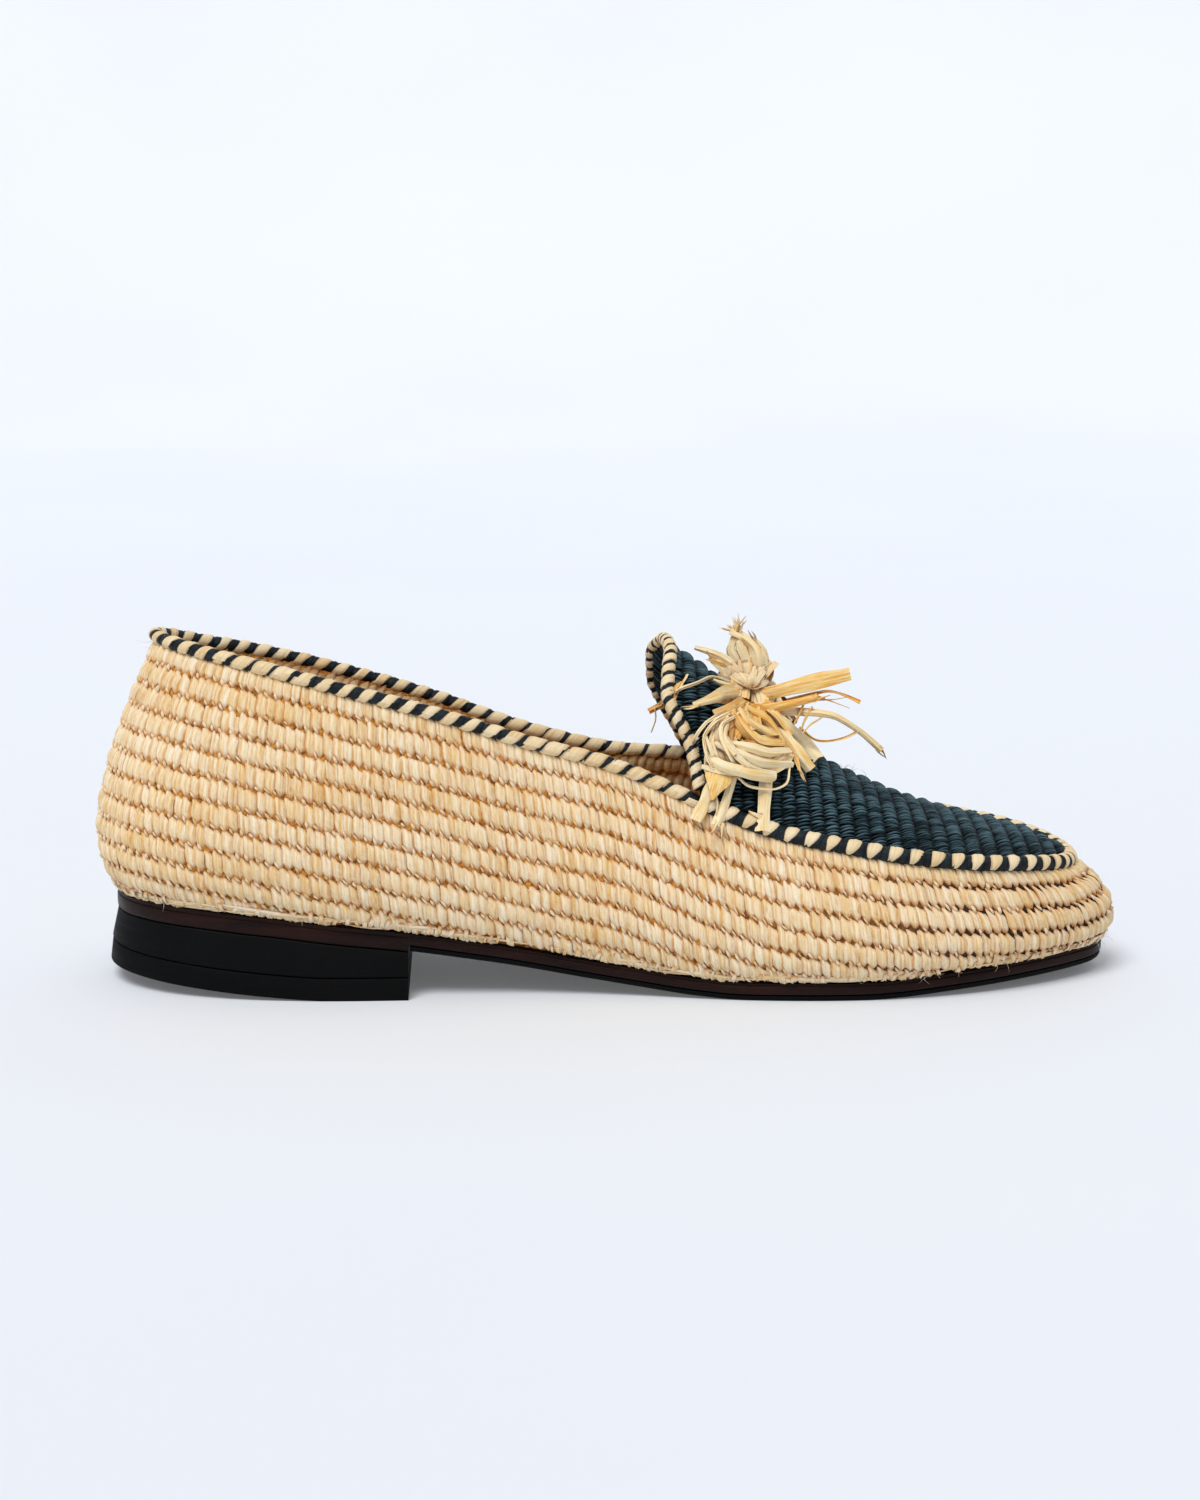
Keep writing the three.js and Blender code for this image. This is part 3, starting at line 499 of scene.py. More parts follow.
# Materials
class Nodes:
    """Short calls for a material's node tree."""

    def __init__(self, name):
        self.material = bpy.data.materials.new(name)
        self.material.use_nodes = True
        self.tree = self.material.node_tree
        self.shader = self.tree.nodes["Principled BSDF"]

    def new(self, kind, **settings):
        node = self.tree.nodes.new(kind)
        for key, value in settings.items():
            setattr(node, key, value)
        return node

    def link(self, source, target):
        self.tree.links.new(source, target)

    def attribute(self, name):
        return self.new("ShaderNodeAttribute", attribute_name=name).outputs["Fac"]

    def noise(self, vector, scale, detail=4.0, stretch=None, rough=0.55):
        if stretch is not None:
            mapping = self.new("ShaderNodeMapping")
            mapping.inputs["Scale"].default_value = stretch
            self.link(vector, mapping.inputs["Vector"])
            vector = mapping.outputs["Vector"]
        node = self.new("ShaderNodeTexNoise")
        node.inputs["Scale"].default_value = scale
        node.inputs["Detail"].default_value = detail
        node.inputs["Roughness"].default_value = rough
        self.link(vector, node.inputs["Vector"])
        return node.outputs["Fac"]

    def ramp(self, value, stops):
        node = self.new("ShaderNodeValToRGB")
        elements = node.color_ramp.elements
        while len(elements) < len(stops):
            elements.new(0.5)
        for element, (at, colour) in zip(elements, stops):
            element.position = at
            element.color = (*colour, 1.0)
        self.link(value, node.inputs["Fac"])
        return node.outputs["Color"]

    def blend(self, share, first, second):
        node = self.new("ShaderNodeMix", data_type="RGBA")
        for name, value in (("Factor", share), ("A", first), ("B", second)):
            self.put(node.inputs[name], value)
        return node.outputs["Result"]

    def put(self, socket, value):
        if isinstance(value, bpy.types.NodeSocket):
            self.link(value, socket)
        elif isinstance(value, tuple):
            socket.default_value = (*value, 1.0)
        else:
            socket.default_value = value

    def maths(self, kind, first, second):
        node = self.new("ShaderNodeMath", operation=kind)
        self.put(node.inputs[0], first)
        self.put(node.inputs[1], second)
        return node.outputs["Value"]

    def add(self, first, second):
        return self.maths("ADD", first, second)

    def times(self, first, second):
        return self.maths("MULTIPLY", first, second)

    def spread(self, value, low, high, to_low, to_high):
        node = self.new("ShaderNodeMapRange")
        self.link(value, node.inputs["Value"])
        for name, number in (("From Min", low), ("From Max", high), ("To Min", to_low), ("To Max", to_high)):
            node.inputs[name].default_value = number
        return node.outputs["Result"]

    def bump(self, height, strength, distance):
        node = self.new("ShaderNodeBump")
        node.inputs["Strength"].default_value = strength
        node.inputs["Distance"].default_value = distance
        self.link(height, node.inputs["Height"])
        return node.outputs["Normal"]

    def finish(self, colour, roughness, normal, **settings):
        self.link(colour, self.shader.inputs["Base Color"])
        self.put(self.shader.inputs["Roughness"], roughness)
        if normal is not None:
            self.link(normal, self.shader.inputs["Normal"])
        for key, value in settings.items():
            self.shader.inputs[key.replace("_", " ")].default_value = value
        return self.material


def srgb(*values):
    """Linear colour from display values of 0 to 255."""
    shares = [value / 255 for value in values]
    return tuple(s / 12.92 if s <= 0.04045 else ((s + 0.055) / 1.055) ** 2.4 for s in shares)


def strand_material(name, pale, middle, deep, crevice_shade, roughness=(0.45, 0.7), specular=0.22):
    """Dried palm fibre: fine ribs along each strand and a tone of its own, with a darker, warmer colour
    painted in as shade.
    """
    m = Nodes(name)
    strand = m.new("ShaderNodeUVMap", uv_map="strand").outputs["UV"]
    place = m.new("ShaderNodeTexCoord").outputs["Object"]
    fibres = m.noise(strand, 1.7, 4.0, (1.0, 0.06, 1.0), 0.6)
    fine = m.noise(strand, 5.0, 3.0, (1.0, 0.05, 1.0), 0.6)
    ripples = m.noise(strand, 1.4, 2.0, (0.25, 1.8, 1.0), 0.4)
    patches = m.noise(place, 34.0, 3.0)
    grain = m.add(m.times(fibres, 1.1), m.times(fine, 0.5))
    shade = m.add(m.times(m.attribute("tone"), 0.4), m.add(grain, -0.34))
    shade = m.add(shade, m.times(m.add(patches, -0.72), 0.25))
    colour = m.ramp(shade, ((0.22, deep), (0.5, middle), (0.78, pale)))
    # painted shade: a darker, warmer colour blended in where a point's painted light is low
    shade_share = m.spread(m.attribute("depth"), 0.0, 1.0, 0.92, 0.0)
    colour = m.blend(shade_share, colour, crevice_shade)
    height = m.add(fibres, m.times(m.add(fine, ripples), 0.4))
    normal = m.bump(height, 0.8, 0.0004)
    rough = m.spread(fibres, 0.3, 0.7, *roughness)
    return m.finish(colour, rough, normal, Specular_IOR_Level=specular)


RAFFIA = strand_material(
    "natural_raffia", srgb(248, 234, 206), srgb(236, 204, 150), srgb(223, 164, 72), srgb(190, 106, 0))
WRAP = strand_material(
    "binding_natural", srgb(244, 225, 188), srgb(232, 203, 154), srgb(212, 170, 116), srgb(130, 88, 44))
# dark raffia: its palest colour stands in for the strands' satin sheen, a painted sheen
DARK = strand_material(
    "dark_raffia", srgb(94, 126, 138), srgb(27, 45, 54), srgb(3, 6, 9), srgb(0, 0, 0), (0.22, 0.38), 0.1)
DARK_WRAP = strand_material(
    "binding_dark", srgb(30, 42, 50), srgb(13, 21, 28), srgb(5, 9, 12), srgb(0, 0, 1), (0.4, 0.6), 0.18)
POMPOM = strand_material(
    "pompom_raffia", srgb(250, 233, 193), srgb(246, 202, 118), srgb(224, 132, 24), srgb(152, 54, 0),
    (0.42, 0.66), 0.14)


def hole_glow_and_shade_material():
    """Painted glow and shade seen through the crochet's holes: a glowing brown at the heel, where light comes
    through the raffia, and near black shade at the toe.
    """
    m = Nodes("crochet_core")
    place = m.new("ShaderNodeTexCoord").outputs["Object"]
    grain = m.noise(place, 900.0, 3.0)
    along = m.new("ShaderNodeSeparateXYZ")
    m.link(place, along.inputs["Vector"])
    # painted glow at the heel and painted shade at the toe, blended along the shoe
    share = m.spread(along.outputs["X"], 0.02, 0.09, 0.0, 1.0)
    heel = m.ramp(grain, ((0.35, srgb(104, 54, 4)), (0.65, srgb(214, 142, 44))))
    toe = m.ramp(grain, ((0.3, srgb(10, 8, 6)), (0.7, srgb(54, 34, 18))))
    return m.finish(m.blend(share, heel, toe), 0.8, m.bump(grain, 0.4, 0.0002))


HOLE_GLOW_AND_SHADE = hole_glow_and_shade_material()


def leather_material(name, dark, light, roughness, coat, specular):
    m = Nodes(name)
    place = m.new("ShaderNodeTexCoord").outputs["Object"]
    cloud = m.noise(place, 60.0, 4.0)
    layers = m.noise(place, 260.0, 5.0, (0.18, 0.18, 2.6))
    grain = m.noise(place, 1500.0, 3.0)
    colour = m.ramp(m.add(m.times(cloud, 0.5), m.times(layers, 0.5)), ((0.35, dark), (0.65, light)))
    normal = m.bump(m.add(layers, m.times(grain, 0.6)), 0.35, 0.00025)
    rough = m.spread(layers, 0.3, 0.7, roughness - 0.1, roughness + 0.12)
    return m.finish(colour, rough, normal, Coat_Weight=coat, Coat_Roughness=0.35, Specular_IOR_Level=specular)


SOLE_EDGE = leather_material("sole_leather", srgb(11, 4, 3), srgb(40, 16, 11), 0.45, 0.05, 0.12)
INSOLE_TOP = leather_material("insole_leather", srgb(176, 124, 76), srgb(206, 158, 108), 0.55, 0.05, 0.4)
HEEL_BLACK = leather_material("heel_black", srgb(2, 3, 4), srgb(7, 8, 10), 0.6, 0.0, 0.1)
RUBBER = leather_material("black_rubber", srgb(2, 3, 4), srgb(7, 8, 10), 0.68, 0.0, 0.1)


# Crochet of the wall: rows below the rim, each a coil of short upright stitches
FIRST_ROW = 6.5
ROW = 5.95
ROWS_DOWN = 12
STITCHES = 236
ROW_DRIFT = 0.12
CORD_EDGE = 1.2
FACE_DEPTH = 1.5
WALL_MIDDLE = -WALL / 2
TOP_WIDTH = 0.47
# Turns between which the crochet changes towards the toe, counted from the heel on either side
TOE_TURNS = (0.28, 0.42)
# Half of the backing's thickness at the heel and at the toe, and its top below the rim
CORE_HALVES = (0.55, 0.3)
CORE_TOP = 1.0
# Least stretch that the foot of the wall leaves for a stitch and for a loop
STITCH_ROOM = 1.4
LOOP_ROOM = 1.2
# Share of the stitches with a loop beside them, at the heel and at the toe
LOOP_SHARES = (0.9, 0.35)


def near_toe(turn):
    """Share that rises from 0 to 1 towards the toe."""
    return smooth(*TOE_TURNS, 0.5 - np.abs(turn - 0.5))


class RowLine:
    """One line round the wall at a distance below the rim, measured along itself."""

    def __init__(self, distance):
        turns = np.arange(WALL_TURNS + 1) / WALL_TURNS
        self.turns = turns
        self.travelled = path_lengths(wall_at(turns, np.minimum(distance, foot_distance(turns))))
        self.length = self.travelled[-1]

    def turn(self, travelled):
        return np.interp(travelled % self.length, self.travelled, self.turns)


def stitch_rows(bundle, side, rings, section, rows):
    """Upright stitches on the outer (side 1) or inner (side -1) face of the wall. The ends of two
    rows meet and leave a small hole between neighbours."""
    t, x = strand_axes(rings, section)
    for row in rows:
        top = CORD_EDGE if row == 0 else FIRST_ROW + (row - 1) * ROW
        bottom = FIRST_ROW + row * ROW
        line = RowLine((top + bottom) / 2)
        pitch = line.length / STITCHES
        middle = (np.arange(STITCHES) + ROW_DRIFT * row) * pitch
        middle = middle + rng.normal(0, 0.08, STITCHES)
        turn = line.turn(middle)
        limit = foot_distance(turn)
        keep = limit > top + STITCH_ROOM
        middle, limit, turn = middle[keep], limit[keep], turn[keep]
        count = len(middle)
        if count == 0:
            continue
        here = draws_for(count)
        toe = near_toe(turn)[:, None, None]
        # a leaning, bowed body, whose ends run past the row's lines
        slant = ROW_DRIFT * pitch + 0.9 * toe * (row < 3)
        tilt, bow = slant + here(-0.4, 0.3), here(-0.25, 0.25)
        high, early, late = here(0.86, 1.12), here(0.1, 0.6), here(-0.3, 0.2) - 0.4 * toe
        peak = here(0.6, 1.5) * smooth(0.35, -0.75, x)
        distance = mix(top + early - peak, bottom + late, t)
        distance = np.minimum(distance, limit[:, None, None] - 0.15)
        # half width in pitches: a narrow top hooked to one side, a full body and a pointed foot
        width = TOP_WIDTH + (here(0.58, 0.67) - TOP_WIDTH) * smooth(0, 0.16, t)
        width = width * (1 - here(0.45, 0.85) * smooth(0.72, 1, t))
        lean = 0.22 * smooth(0.25, 0, t) * smooth(0.3, -0.7, x) - 0.16 * smooth(0.6, 1, t)
        offset = tilt * (t - 0.5) + bow * np.sin(np.pi * t) + (x * width - lean) * pitch
        # height off the wall: a crown along the stitch, an arch across it, creases and a slope
        crown = 0.24 + 0.76 * swell(t, 0.03, 0.94, 0.62)
        arch = 0.56 + 0.44 * (1 - np.abs(x) ** 2.5)
        crease = rng.normal(0, 0.12, (count, 1, section)) + rng.normal(0, 0.05, (count, rings, section))
        crease = crease * np.sin(np.pi * np.clip(t, 0.06, 0.94)) ** 0.5
        slope = here(-0.22, 0.22) * x
        lift = side * (FACE_DEPTH * crown * arch * high + crease + slope - 0.1)
        points = wall_at(line.turn(middle[:, None, None] + offset), distance, WALL_MIDDLE + lift)
        # tone in slow waves round the shoe and along the creases, and painted shade on the edges, ends and
        # sunken creases
        drift = np.sin(middle / 17.0 + row * 1.7) + np.sin(middle / 7.3 + row * 4.1)
        tone = (0.5 + 0.04 * drift + rng.normal(0, 0.08, count))[:, None, None] + crease * 0.8
        furrow = 1 - 0.62 * np.abs(x) ** 3
        shaded = 0.95 * smooth(0.72, 1, t) + 0.6 * smooth(0.14, 0, t) - np.minimum(crease, 0) * 1.7
        depth = np.clip(1.15 * furrow - shaded, 0, 1)
        bundle.add(points, tone, depth, fibre_place(x * pitch / 2, t * (bottom - top), count))


def loop_tips(bundle, rings=5, section=5):
    """Small twisted loops that stand between the stitches along each row line."""
    t, x = strand_axes(rings, section)
    for row in range(1, ROWS_DOWN):
        at = FIRST_ROW + (row - 1) * ROW
        line = RowLine(at)
        middle = (np.arange(STITCHES) + ROW_DRIFT * (row - 0.5)) * line.length / STITCHES
        middle = middle + rng.normal(0, 0.2, STITCHES)
        turn = line.turn(middle)
        chosen = rng.random(STITCHES) < mix(*LOOP_SHARES, near_toe(turn))
        keep = (foot_distance(turn) > at + LOOP_ROOM) & chosen
        middle = middle[keep]
        count = len(middle)
        if count == 0:
            continue
        here = draws_for(count)
        distance = at + mix(here(-0.1, 0.6), here(-2.0, -1.0), t)
        offset = mix(here(0.3, 1.1), here(-0.7, 0.1), t)
        taper = swell(t, 0.12, 0.8, 0.7)
        offset = offset + x * taper * here(0.3, 0.62)
        lift = 0.55 + here(0.65, 1.1) * swell(t) * (1 - 0.6 * x**2)
        points = wall_at(line.turn(middle[:, None, None] + offset), distance, WALL_MIDDLE + lift)
        # painted shade towards both ends of each loop and a little at its edges
        depth = np.clip(0.25 + 0.75 * np.sin(np.pi * t) * (1 - 0.4 * x**4), 0, 1)
        place = fibre_place(x * 0.5, t * 2.2, count)
        bundle.add(points, here(0.2, 1), depth, place)


def wall_core(bundle, turns=360, steps=26):
    """Thin sheet inside the crochet, seen between its stitches, that carries the painted glow and shade of
    its holes.
    """
    turn = (np.arange(turns) / turns)[:, None]
    half = mix(*CORE_HALVES, near_toe(turn))
    share = np.linspace(0, 1, steps)[None, :]
    distance = mix(CORE_TOP, foot_distance(turn), share)
    outer = wall_at(turn + 0 * share, distance, WALL_MIDDLE + half)
    inner = wall_at(turn + 0 * share, distance, WALL_MIDDLE - half)
    rings = np.concatenate([outer, inner[:, ::-1]], axis=1)[None]
    bundle.add(rings, 0.5, 0.5, np.zeros(2), closed=True, loop=True)


def edge_strands(bundle, count=190):
    """Loose strands that run along the wall's lower edge, over the ends of the last rows."""
    t, x = strand_axes(12, 5)
    here = draws_for(count)
    line = RowLine(WALL_REACH)
    start = here(0, line.length)
    travelled = start + here(9, 26) * t
    turn = line.turn(travelled)
    wave = here(0.1, 0.5) * np.sin(t * here(3, 9) + here(0, 6))
    distance = foot_distance(turn) - here(0.5, 2.6) + wave
    distance = distance + x * here(0.35, 0.75) * swell(t)
    lift = WALL_MIDDLE + here(1.05, 1.6) * swell(t, 0.06, 0.88, 0.4) - 0.3 * np.abs(x) ** 2
    points = wall_at(turn, np.minimum(distance, foot_distance(turn) - 0.1), lift)
    place = fibre_place(x * 0.6, t * 18, count)
    # painted shade along the strands' edges
    bundle.add(points, here(0.3, 1), middle_painted_light(t, x, 0.6, 4), place)


def edge_ties(bundle, count=260):
    """Short crossing loops over the strands of the lower edge."""
    t, x = strand_axes(7, 4)
    here = draws_for(count)
    line = RowLine(WALL_REACH)
    travelled = here(0, line.length) + here(-1.6, 1.6) * (t - 0.5) + x * here(0.25, 0.6)
    turn = line.turn(travelled)
    distance = foot_distance(turn) - mix(here(2.6, 4.2), here(0.2, 1.0), t)
    lift = WALL_MIDDLE + 0.5 + here(1.0, 1.35) * swell(t, power=0.6)
    points = wall_at(turn, np.minimum(distance, foot_distance(turn) - 0.1), lift)
    place = fibre_place(x * 0.5, t * 4, count)
    # painted shade towards both ends of each tie
    bundle.add(points, here(0.2, 1), np.clip(np.sin(np.pi * t) * 1.3 + 0 * x, 0, 1), place)


def wall_hairs(bundle, count, turns, distances, lengths, radius):
    """Hairs that stand off the wall between two turns and two distances."""
    turn, distance = rng.uniform(*turns, count), rng.uniform(*distances, count)
    distance = np.where(distance < 0, foot_distance(turn) + distance, distance)
    start = wall_at(turn, distance, 0.1)
    push = outward(turn) + rng.normal(0, 0.9, (count, 3))
    push[:, 2] *= 0.8
    strays(bundle, start, push, rng.uniform(*lengths, count), radius, 0.18, drop=0.1)


def strays(bundle, starts, directions, lengths, radius, curl, tone=(0.3, 1.0), drop=0.0, rings=9):
    """Loose hairs: thin round strands that leave in a direction and curl."""
    count = len(starts)
    t = np.linspace(0, 1, rings)[None, :, None]
    along = unit(directions)
    side = unit(np.cross(along, rng.normal(0, 1, (count, 3))))
    reach = np.asarray(lengths)[:, None, None]
    bend = side[:, None] * curl * reach * np.sin(np.pi * t * rng.uniform(0.6, 1.6, (count, 1, 1)))
    path = starts[:, None] + along[:, None] * reach * t + bend - UP * drop * reach * t**2
    sweep(bundle, path, radius * (1.05 - 0.85 * t[..., 0]), tone)


def sweep(bundle, path, radius, tone=(0.3, 1.0), sides=4):
    """Round strands along paths."""
    count, rings = path.shape[:2]
    along = unit(np.gradient(path, axis=1))
    first = unit(np.cross(along, np.broadcast_to(rng.normal(0, 1, (count, 1, 3)), along.shape)))
    second = np.cross(along, first)
    angle = np.arange(sides) / sides * 2 * np.pi
    radius = np.broadcast_to(radius, (count, rings))[..., None, None]
    circle = first[:, :, None] * np.cos(angle)[:, None] + second[:, :, None] * np.sin(angle)[:, None]
    place = fibre_place(np.cos(angle)[None, None, :] * 0.3, np.linspace(0, 9, rings)[None, :, None], count)
    bundle.add(path[:, :, None] + circle * radius, rng.uniform(*tone, (count, 1, 1)), 1.0, place, closed=True)


# Plug: columns across the foot, each a stack of short strands
PLUG_COLUMN = 4.3
PLUG_STRAND = 1.02
PLUG_EDGE = 1.6


def plug_strands(bundle, side, rings, section):
    """Short strands in columns across the plug, on its upper (side 1) or lower (side -1) face."""
    points = plug.points
    crest = PLUG_COLUMNS // 2
    travelled = path_lengths(points[:, crest])
    rows = np.arange(len(points))
    columns = int(travelled[-1] / PLUG_COLUMN)
    t, x = strand_axes(rings, section)
    for c in range(columns):
        start, end = c * travelled[-1] / columns, (c + 1) * travelled[-1] / columns
        row = np.interp((start + end) / 2, travelled, rows)
        line = plug.at(np.full(PLUG_COLUMNS, row), np.arange(PLUG_COLUMNS))
        across = path_lengths(line)
        count = int((across[-1] - 2 * PLUG_EDGE) / PLUG_STRAND)
        if count < 2:
            continue
        centre = PLUG_EDGE + (np.arange(count) + 0.5 * (c % 2) + 0.25) * PLUG_STRAND
        centre = (centre + rng.normal(0, 0.07, count))[:, None, None]
        here = draws_for(count)
        # strands that lean across their column and taper to both ends
        lean = 1.1 + here(-0.45, 0.45)
        along = mix(start - 0.3, end + 0.3, t)
        taper = swell(t, power=0.7)
        reach = centre + lean * (t - 0.5) * 2 + x * here(0.38, 0.47) * PLUG_STRAND * taper
        crown = np.sin(np.pi * t) ** 0.65
        # height off the sheet's middle, with a twist and creases
        twist = here(-0.3, 0.3) * x + rng.normal(0, 0.07, (count, 1, section))
        lift = side * (0.1 + here(1.2, 1.4) * crown * (1 - 0.48 * np.abs(x) ** 2) + twist * crown)
        u = np.interp(along, travelled, rows)
        v = np.interp(np.clip(reach, 0.5, across[-1] - 0.5), across, np.arange(PLUG_COLUMNS))
        rings_points = plug.at(u + 0 * v, v + 0 * u, -WALL / 2 + lift)
        # painted shade on the strands' sides and ends, the crowns left lit
        depth = np.clip(crown * (1.15 - 1.05 * np.abs(x) ** 2) - 0.1, 0, 1)
        place = fibre_place(x * 0.8, t * 5.5, count)
        bundle.add(rings_points, here(0.25, 0.85), depth, place)


def plug_hairs(bundle, spots=((0.34, 61, 5), (0.36, 58, 4), (0.52, 60, 3), (0.58, 64, 3))):
    """Loose dark hairs on the crest, at (share of the rows, column, count)."""
    for share, column_at, count in spots:
        u = share * len(plug.points) + rng.uniform(-3, 3, count)
        v = column_at + rng.uniform(-4, 4, count)
        push = rng.normal(0, 1, (count, 3)) * np.array([1.0, 0.6, 0.3]) + UP * 0.8
        strays(bundle, plug.at(u, v, 0.2), push, rng.uniform(2.0, 5.0, count), 0.06, 0.3, (0, 0.2), 0.25)


def plug_core(bundle, half=0.3):
    """Thin sheet behind the plug's strands, whose painted shade makes the gaps between them nearly black."""
    rows = np.linspace(1, len(plug.points) - 1, 90)[:, None]
    columns = np.linspace(1.5, PLUG_COLUMNS - 2.5, 60)[None, :]
    outer = plug.at(rows + 0 * columns, columns + 0 * rows, -WALL / 2 + half)
    inner = plug.at(rows + 0 * columns, columns + 0 * rows, -WALL / 2 - half)
    rings = np.concatenate([outer, inner[:, ::-1]], axis=1)[None]
    bundle.add(rings, 0.1, 0.1, np.zeros(2), closed=True)


class Cord:
    """A cord along a path, read at a length along it, an angle round it and a radius."""

    def __init__(self, path, out):
        self.path = path
        self.travelled = path_lengths(path)
        self.length = self.travelled[-1]
        along = unit(np.gradient(path, axis=0))
        self.first = unit(out - along * np.sum(out * along, axis=-1, keepdims=True))
        self.second = np.cross(self.first, along)

    def at(self, s, angle, radius):
        s, angle, radius = np.broadcast_arrays(s, angle, radius)
        first = points_at(s, self.travelled, self.first) * np.cos(angle)[..., None]
        second = points_at(s, self.travelled, self.second) * np.sin(angle)[..., None]
        return points_at(s, self.travelled, self.path) + (first + second) * radius[..., None]


def rim_cord(start, end, samples=900):
    turns = np.linspace(start, end, samples)
    return Cord(rim.at(turns), outward(turns % 1.0))


def tongue_cord(reach=0.955, samples=300):
    across = reach * np.sin(np.linspace(-1, 1, samples) * math.pi / 2)
    path = plug_point(np.full(samples, THROAT), across, TONGUE_SWEEP * column(TONGUE_EDGE, across))
    return Cord(path, np.broadcast_to(np.array([-1.0, 0.0, 0.25]), path.shape))


def cord_core(bundle, cord, radius, sides=10, step=1.5):
    """A plain round cord under the wrapping, darkened with painted shade."""
    count = int(cord.length / step)
    s = np.linspace(0, cord.length, count)[None, :, None]
    angle = (np.arange(sides) / sides * 2 * np.pi)[None, None, :]
    place = np.stack(np.broadcast_arrays(np.cos(angle) * radius, s), axis=-1)
    bundle.add(cord.at(s, angle, radius), 0.35, 0.6, place, closed=True)


def wraps(bundle, cord, pitch, radius, cover, lean=1.0, thickness=0.32, steps=18):
    """A flat strand wound round a cord, with its edges tucked in. cover gives the strand's width as a
    share of the pitch along the cord."""
    turns = int((cord.length - 2.0) / pitch)
    for k in range(turns):
        width = pitch * np.interp((k + 0.5) / turns, *cover) * rng.uniform(0.88, 1.12)
        t = np.linspace(-0.04, 1.04, steps)[None, :, None]
        x = np.linspace(-1, 1, 7)[None, None, :]
        angle = 2 * np.pi * t + 0 * x
        middle = 1.0 + pitch * (k + 0.5) + lean * pitch * (t - 0.5)
        s = middle + x * width / 2
        puff = thickness * (1 - np.abs(x) ** 4) + rng.normal(0, 0.06, (1, 1, 7))
        points = cord.at(np.clip(s, 0, cord.length), angle, radius + puff - 0.08)
        place = fibre_place(x * width / 2, t * 11)
        # painted shade along the wrapped strand's edges
        bundle.add(points, rng.uniform(0.2, 1.0), middle_painted_light(t, x, 0.75, 6), place)


def whip_stitches(bundle, cord, radius=SEAM / 2):
    """Short strands over the seam, wide at the plug and drawn to a point on the wall."""
    position = 2.4
    while position < cord.length - 2.0:
        share = abs(position / cord.length - 0.5) * 2
        pitch = mix(4.0, 5.3, smooth(0.05, 0.3, share)) * rng.uniform(0.93, 1.07)
        width = pitch * rng.uniform(0.6, 0.76)
        t, x = strand_axes(13, 7)
        angle = np.radians(mix(205.0, -48.0, t)) + 0 * x
        taper = 1 - 0.5 * smooth(0.6, 1.0, t)
        s = position - 1.7 * (t - 0.5) + x * taper * width / 2 - 0.3 * smooth(0.5, 1, t)
        puff = 0.38 * (1 - np.abs(x) ** 4) + rng.normal(0, 0.08, (1, 1, 7))
        points = cord.at(s, angle, radius + puff - 0.05 - 0.25 * smooth(0.85, 1, t))
        place = fibre_place(x * width / 2, t * 9)
        # painted shade along the stitch's edges
        bundle.add(points, rng.uniform(0.3, 1.0), middle_painted_light(t, x, 0.7, 6), place)
        position += pitch


# Sole
def outline_sides(inset, samples=700):
    """The sole's outline with an inset, as its medial and lateral sides from the heel to the toe."""
    sides = []
    for turns in (np.linspace(0, 0.5, samples), np.linspace(1, 0.5, samples)):
        edge = sole_edge.at(turns) - outward(turns) * inset
        order = np.argsort(edge[:, 0], kind="stable")
        sides.append(edge[order])
    return sides


def layer(bundle, profile, height, first=None, last=None, steps=160, extra=()):
    """A layer of the sole between stations: profile rows are (share of the height, inset)."""
    # stations crowd towards the outline's rounded ends
    share = np.linspace(0, 1, steps)
    if first is not None:
        ease = np.sin(share * np.pi / 2)
    elif last is not None:
        ease = 1 - np.cos(share * np.pi / 2)
    else:
        ease = (1 - np.cos(share * np.pi)) / 2
    medial_rows, lateral_rows = [], []
    for level, inset in profile:
        medial, lateral = outline_sides(inset)
        rear = medial[0, 0] if first is None else first
        front = medial[-1, 0] if last is None else last
        x = np.sort(np.concatenate([mix(rear, front, ease), extra]))
        z = height(x, level)
        medial_rows.append(np.stack([x, np.interp(x, medial[:, 0], medial[:, 1]), z], axis=-1))
        lateral_rows.append(np.stack([x, np.interp(x, lateral[:, 0], lateral[:, 1]), z], axis=-1))
    ring = np.stack(medial_rows + lateral_rows[::-1], axis=1)
    bundle.add(ring[None], 0.5, 1.0, ring[None][..., [0, 2]], closed=True)


def tread(x):
    """Height of the underside of the heel's top piece, flat in front and rising to the rear."""
    rear = SECTIONS[0][0] * SHOE_LENGTH
    flat_from = BREAST - HEEL_FLAT
    return HEEL_LIFT * np.clip((flat_from - x) / (flat_from - rear), 0, 1) ** TREAD_CURVE


def rounded(low, high, rise=0.12, soften=0.35):
    """Profile rows between two insets with softened corners."""
    return (
        (0.0, low + soften), (rise * 0.35, low + soften * 0.25), (rise, low),
        (1 - rise, high), (1 - rise * 0.35, high + soften * 0.25), (1.0, high + soften),
    )


# Profiles of the sole's layers: (share of the height, inset in mm)
MIDSOLE_PROFILE = ((0.0, 0.35), (0.06, 0.08), (0.2, 0.0), (0.7, 0.0), (0.76, 0.08), (0.8, 0.5), (1.0, 0.55))
OUTSOLE_PROFILE = ((0.0, 0.85), (0.2, 0.5), (0.5, 0.3), (1.0, 0.3))
LIFTS_PROFILE = rounded(-HEEL_FLARE * LIFT_FLARE, 0.2, 0.05, 0.25)
TREAD_PROFILE = rounded(-HEEL_FLARE, -HEEL_FLARE * LIFT_FLARE, 0.06, 0.25)
INSOLE_PROFILE = ((0.0, 3.5), (0.6, 3.1), (0.85, 3.25), (1.0, 3.7))
# Length over which the sole steps from the heel seat to the outsole
SOLE_STEP = 0.2


def midsole_height(x, share):
    thick = np.where(x <= BREAST, SOLE, SOLE - OUTSOLE - CLEARANCE)
    return sole_top(x) - thick * (1 - share)


def outsole_height(x, share):
    return underside(x) + share * OUTSOLE


